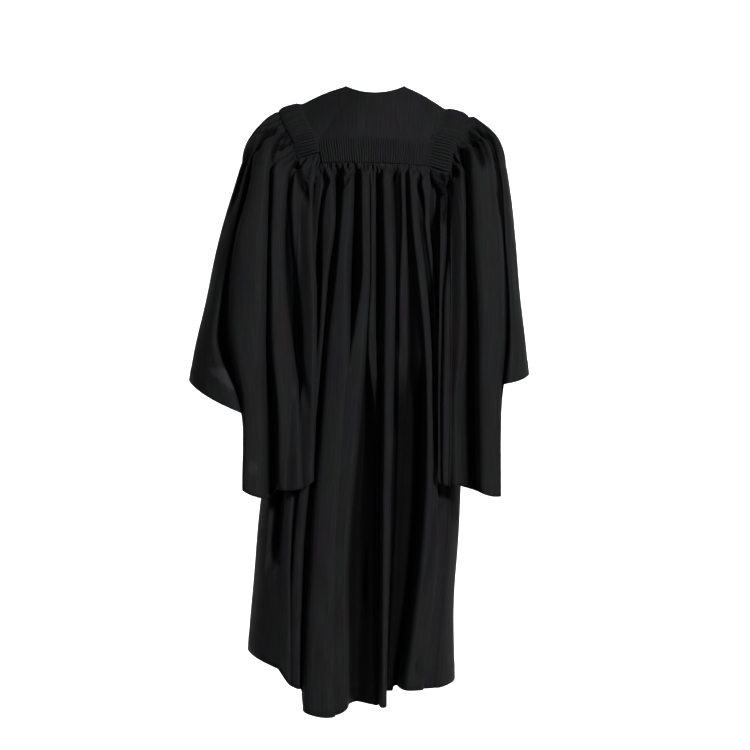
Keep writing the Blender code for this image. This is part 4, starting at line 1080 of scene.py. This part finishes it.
def lengths_between(grid):
    """Distance down each column of a grid from its first row."""
    steps = np.linalg.norm(np.diff(grid, axis=0), axis=-1)
    return np.vstack([np.zeros(grid.shape[1]), np.cumsum(steps, axis=0)])


def painted_backlight_patches(grid, patches):
    """Painted light: where the cloth hangs free of what is behind it, light shining through it is painted as
    lighter colour, with soft borders.
    """
    marks = np.zeros(grid.shape[:2])
    for patch in patches:
        across, height = grid[..., 0], grid[..., 2]
        up = ease((height - patch.low) / (patch.high - patch.low))
        lean = patch.left_low + (patch.left_high - patch.left_low) * up
        inside = (ease((lean - across) / patch.soft) * ease((across - patch.right) / patch.soft)
                  * ease((height - patch.low) / patch.soft) * ease((patch.high - height) / patch.soft))
        marks = np.maximum(marks, patch.share * inside * (grid[..., 1] > 0))
    return marks


# Sewing: short stitches along hems and the yoke's edge

STITCH_EVERY = 0.0034    # from one stitch to the next
STITCH_SIZE = (0.0021, 0.0005, 0.0004)
STITCH_OUT = 0.6 * CLOTH # from the middle of the cloth's wall to the middle of a stitch
YOKE_STITCH = 0.004      # from the yoke's edge to its row of stitches
YOKE_STITCH_OUT = 0.0006 # how much further out that row lies, over the turned edge


def hem_line(grid, hems, depth, closed=False):
    """Points, and the way out, at one height above a hem, for a row of stitches."""
    normal = way_out(grid, closed)
    points, outs = [], []
    for column, hem in enumerate(hems):
        heights = grid[::-1, column, 2]
        rows = np.interp(hem + depth, heights, np.arange(len(heights)))
        low, part = int(rows), rows - int(rows)
        low = min(low, len(heights) - 2)
        here, above = len(heights) - 1 - low, len(heights) - 2 - low
        points.append(grid[here, column] * (1 - part) + grid[above, column] * part)
        outs.append(normal[here, column])
    points, outs = np.array(points), np.array(outs)
    middle = points.mean(axis=0) * np.array([1.0, 0.0 if not closed else 1.0, 1.0])
    if ((points - middle) * outs).sum() < 0:
        outs = -outs
    return points, outs, closed


def row_line(grid, depth):
    """Points, and the way out, at one distance in from a grid's first row."""
    way = grid[1] - grid[0]
    way = way / reach_of(way)
    normal = way_out(grid, False)[0]
    if (normal * (grid[0] - np.array([0.0, 0.0, HEART[1]]))).sum() < 0:
        normal = -normal
    return grid[0] + way * depth + normal * YOKE_STITCH_OUT, normal, False


def thread_material():
    """Matt black sewing thread, twisted and a little uneven."""
    material = bpy.data.materials.new("thread")
    material.use_nodes = True
    tree = material.node_tree
    shader = tree.nodes["Principled BSDF"]
    shader.inputs["Specular IOR Level"].default_value = 0.12
    place = tree.nodes.new("ShaderNodeTexCoord")
    twist = tree.nodes.new("ShaderNodeTexWave")
    twist.inputs["Scale"].default_value = 900.0
    twist.inputs["Distortion"].default_value = 1.5
    tree.links.new(place.outputs["Object"], twist.inputs["Vector"])
    ramp = tree.nodes.new("ShaderNodeValToRGB")
    ramp.color_ramp.elements[0].color = (0.008, 0.008, 0.009, 1.0)
    ramp.color_ramp.elements[1].color = (0.022, 0.022, 0.024, 1.0)
    tree.links.new(twist.outputs["Fac"], ramp.inputs["Fac"])
    tree.links.new(ramp.outputs["Color"], shader.inputs["Base Color"])
    rough = tree.nodes.new("ShaderNodeMapRange")
    rough.inputs["To Min"].default_value = 0.6
    rough.inputs["To Max"].default_value = 0.85
    tree.links.new(twist.outputs["Fac"], rough.inputs["Value"])
    tree.links.new(rough.outputs["Result"], shader.inputs["Roughness"])
    return material


def stitch_nodes(material):
    """Node group that lays one stitch after another along lines, facing out of the cloth."""
    group = bpy.data.node_groups.new("sewing", "GeometryNodeTree")
    group.interface.new_socket("Lines", in_out="INPUT", socket_type="NodeSocketGeometry")
    every = group.interface.new_socket("Every", in_out="INPUT", socket_type="NodeSocketFloat")
    group.interface.new_socket("Stitches", in_out="OUTPUT", socket_type="NodeSocketGeometry")
    made, joined = group.nodes.new, group.links.new
    entry, leave = made("NodeGroupInput"), made("NodeGroupOutput")
    curve, spaced = made("GeometryNodeMeshToCurve"), made("GeometryNodeResampleCurve")
    spaced.mode = "LENGTH"
    joined(entry.outputs["Lines"], curve.inputs["Mesh"])
    joined(curve.outputs["Curve"], spaced.inputs["Curve"])
    joined(entry.outputs["Every"], spaced.inputs["Length"])
    bead = made("GeometryNodeMeshUVSphere")
    bead.inputs["Segments"].default_value = 6
    bead.inputs["Rings"].default_value = 4
    bead.inputs["Radius"].default_value = 0.5
    tangent = made("GeometryNodeInputTangent")
    outward = made("GeometryNodeInputNamedAttribute")
    outward.data_type = "FLOAT_VECTOR"
    outward.inputs["Name"].default_value = "out"
    lengthwise, upright = (made("FunctionNodeAlignRotationToVector") for _ in range(2))
    lengthwise.axis = "X"
    upright.axis, upright.pivot_axis = "Z", "X"
    joined(tangent.outputs["Tangent"], lengthwise.inputs["Vector"])
    joined(lengthwise.outputs["Rotation"], upright.inputs["Rotation"])
    joined(outward.outputs["Attribute"], upright.inputs["Vector"])
    laid, real = made("GeometryNodeInstanceOnPoints"), made("GeometryNodeRealizeInstances")
    dyed = made("GeometryNodeSetMaterial")
    laid.inputs["Scale"].default_value = STITCH_SIZE
    joined(spaced.outputs["Curve"], laid.inputs["Points"])
    joined(bead.outputs["Mesh"], laid.inputs["Instance"])
    joined(upright.outputs["Rotation"], laid.inputs["Rotation"])
    joined(laid.outputs["Instances"], real.inputs["Geometry"])
    dyed.inputs["Material"].default_value = material
    joined(real.outputs["Geometry"], dyed.inputs["Geometry"])
    joined(dyed.outputs["Geometry"], leave.inputs["Stitches"])
    return group, every.identifier


def sew(lines, material):
    """All rows of stitches as one plain mesh."""
    points, outs, edges = [], [], []
    for places, ways, closed in lines:
        first = len(points)
        points += (places + ways * STITCH_OUT).tolist()
        outs += ways.tolist()
        edges += [(first + step, first + step + 1) for step in range(len(places) - 1)]
        if closed:
            edges.append((first + len(places) - 1, first))
    mesh = bpy.data.meshes.new("stitch_lines")
    mesh.from_pydata(points, edges, [])
    mark = mesh.attributes.new("out", "FLOAT_VECTOR", "POINT")
    mark.data.foreach_set("vector", np.array(outs).reshape(-1))
    guide = bpy.data.objects.new("stitch_lines", mesh)
    bpy.context.scene.collection.objects.link(guide)
    group, every = stitch_nodes(material)
    sewing = guide.modifiers.new("sewing", "NODES")
    sewing.node_group = group
    sewing[every] = STITCH_EVERY
    guide.update_tag()
    ready = guide.evaluated_get(bpy.context.evaluated_depsgraph_get())
    sewn = bpy.data.meshes.new_from_object(ready)
    guide.modifiers.remove(sewing)
    bpy.data.objects.remove(guide)
    bpy.data.node_groups.remove(group)
    sewn.name = "stitches"
    piece = bpy.data.objects.new("stitches", sewn)
    bpy.context.scene.collection.objects.link(piece)
    return piece


yoke_grid = make_yoke()
yoke_cut = np.stack([yoke_grid[..., 0],
                     YOKE_ROUND * np.arctan2(yoke_grid[..., 1], yoke_grid[..., 2] - HEART[1])], axis=-1)
yoke = add_cloth("yoke_cloth", "yoke", yoke_grid, CLOTH_BLACK, cut=yoke_cut)
band_grid, band_painted_shade = make_band()
band = add_cloth("back_gauging_cloth", "back_gauging", band_grid, CLOTH_BLACK, painted_shade=band_painted_shade)
back_grid, back_painted_shade, back_hems = make_panel(BACK_FOLDS, BACK_HEIGHTS, back_top, 1, (1, -1),
                                             BACK_GATHERS, BACK_CREASES, 21)
back = add_cloth("back_cloth", "back", back_grid, CLOTH_BLACK, painted_backlight=painted_backlight_patches(back_grid, BACK_PATCHES),
                 painted_shade=back_painted_shade)
seams_to_sew = [row_line(yoke_grid[::-1], YOKE_STITCH), hem_line(back_grid, back_hems, HEM_LINE["panel"])]
front_grids = {}
for side, word in ((1, "left"), (-1, "right")):
    seams = (1, None) if side > 0 else (None, -1)
    front_grids[side], painted_shade, hems = make_panel(front_folds(side), FRONT_HEIGHTS, front_top, -1, seams,
                                               FRONT_GATHERS, (), 30 + side)
    add_cloth(f"front_{word}_cloth", f"front_{word}", front_grids[side], CLOTH_BLACK,
                             painted_shade=painted_shade)
    seams_to_sew.append(hem_line(front_grids[side], hems, HEM_LINE["panel"]))
head_grids = {}
sleeve_grids = {}
for side, word in ((1, "left"), (-1, "right")):
    head_grids[side], painted_shade = make_head(side)
    add_cloth(f"sleeve_gauging_{word}_cloth", f"sleeve_gauging_{word}", head_grids[side],
                            CLOTH_BLACK, painted_shade=painted_shade)
    sleeve_grids[side], painted_shade, hems = make_sleeve(side, 50 + side)
    add_cloth(f"sleeve_{word}_cloth", f"sleeve_{word}", sleeve_grids[side], CLOTH_BLACK,
                              closed=True, painted_backlight=painted_backlight_patches(sleeve_grids[side], SLEEVE_PATCHES[side]),
                              painted_shade=painted_shade)
    seams_to_sew.append(hem_line(sleeve_grids[side], hems, HEM_LINE["sleeve"], closed=True))
stitches = sew(seams_to_sew, thread_material())
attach(stitches, "root")


# Floor, light and camera

FLOOR = -1.5             # height of the floor
FLOOR_FRONT = 5.0        # its edge behind the camera
FLOOR_SIDE = 7.0
WALL_FOOT = -4.0         # where the floor starts to curve up
WALL_ROUND = 0.8
WALL_TOP = 4.0


def add_stage():
    """Pale floor that runs up into a pale wall in one soft curve."""
    curve = [(WALL_FOOT - WALL_ROUND * math.sin(turn), FLOOR + WALL_ROUND * (1.0 - math.cos(turn)))
             for turn in np.linspace(0.0, math.pi / 2, 9)]
    profile = [(FLOOR_FRONT, FLOOR)] + curve + [(WALL_FOOT - WALL_ROUND, WALL_TOP)]
    points, faces = [], []
    for y, z in profile:
        points += [(-FLOOR_SIDE, y, z), (FLOOR_SIDE, y, z)]
    for i in range(len(profile) - 1):
        faces.append((2 * i, 2 * i + 1, 2 * i + 3, 2 * i + 2))
    mesh = bpy.data.meshes.new("floor")
    mesh.from_pydata(points, [], faces)
    mesh.shade_smooth()
    material = bpy.data.materials.new("pale_floor")
    material.use_nodes = True
    shader = material.node_tree.nodes["Principled BSDF"]
    shader.inputs["Base Color"].default_value = (0.9, 0.9, 0.9, 1.0)
    shader.inputs["Roughness"].default_value = 0.9
    mesh.materials.append(material)
    floor = bpy.data.objects.new("floor", mesh)
    bpy.context.scene.collection.objects.link(floor)


def add_lamp(name, place, aim, size, energy, cone=None):
    """Soft lamp that faces aim; with a cone, in degrees, it lights only what lies in that."""
    data = bpy.data.lights.new(name, "SPOT" if cone else "AREA")
    data.energy = energy
    if cone:
        data.shadow_soft_size = size / 2
        data.spot_size = math.radians(cone)
        data.spot_blend = 0.6
    else:
        data.size = size
    lamp = bpy.data.objects.new(name, data)
    bpy.context.scene.collection.objects.link(lamp)
    lamp.location = place
    lamp.rotation_euler = (Vector(aim) - Vector(place)).to_track_quat("-Z", "Y").to_euler()


add_stage()
add_lamp("key", (-1.9, 3.9, 0.9), (0.0, 0.0, -0.55), 0.6, 920.0, 34.0)
add_lamp("fill", (1.0, 4.4, 0.2), (0.0, 0.0, -0.6), 0.6, 60.0, 34.0)
add_lamp("wall_left", (2.5, -1.6, 0.6), (0.5, -4.8, -0.2), 2.0, 220.0)
add_lamp("wall_right", (-2.5, -1.6, 0.6), (-0.5, -4.8, -0.2), 2.0, 220.0)
world = bpy.data.worlds.new("pale")
world.use_nodes = True
world.node_tree.nodes["Background"].inputs["Color"].default_value = (1.0, 1.0, 1.0, 1.0)
world.node_tree.nodes["Background"].inputs["Strength"].default_value = 0.04
bpy.context.scene.world = world
bpy.context.scene.view_settings.view_transform = "Standard"

CAMERA_AWAY = 3.5
CAMERA_HEIGHT = -0.568
HALF_WIDTH = 0.7425      # half of what the picture shows, at the gown's middle
camera_data = bpy.data.cameras.new("camera")
camera_data.sensor_width = 36.0
camera_data.lens = 18.0 * CAMERA_AWAY / HALF_WIDTH
camera = bpy.data.objects.new("camera", camera_data)
bpy.context.scene.collection.objects.link(camera)
camera.location = (0.0, CAMERA_AWAY, CAMERA_HEIGHT)
camera.rotation_euler = (math.pi / 2, 0.0, math.pi)
bpy.context.scene.camera = camera
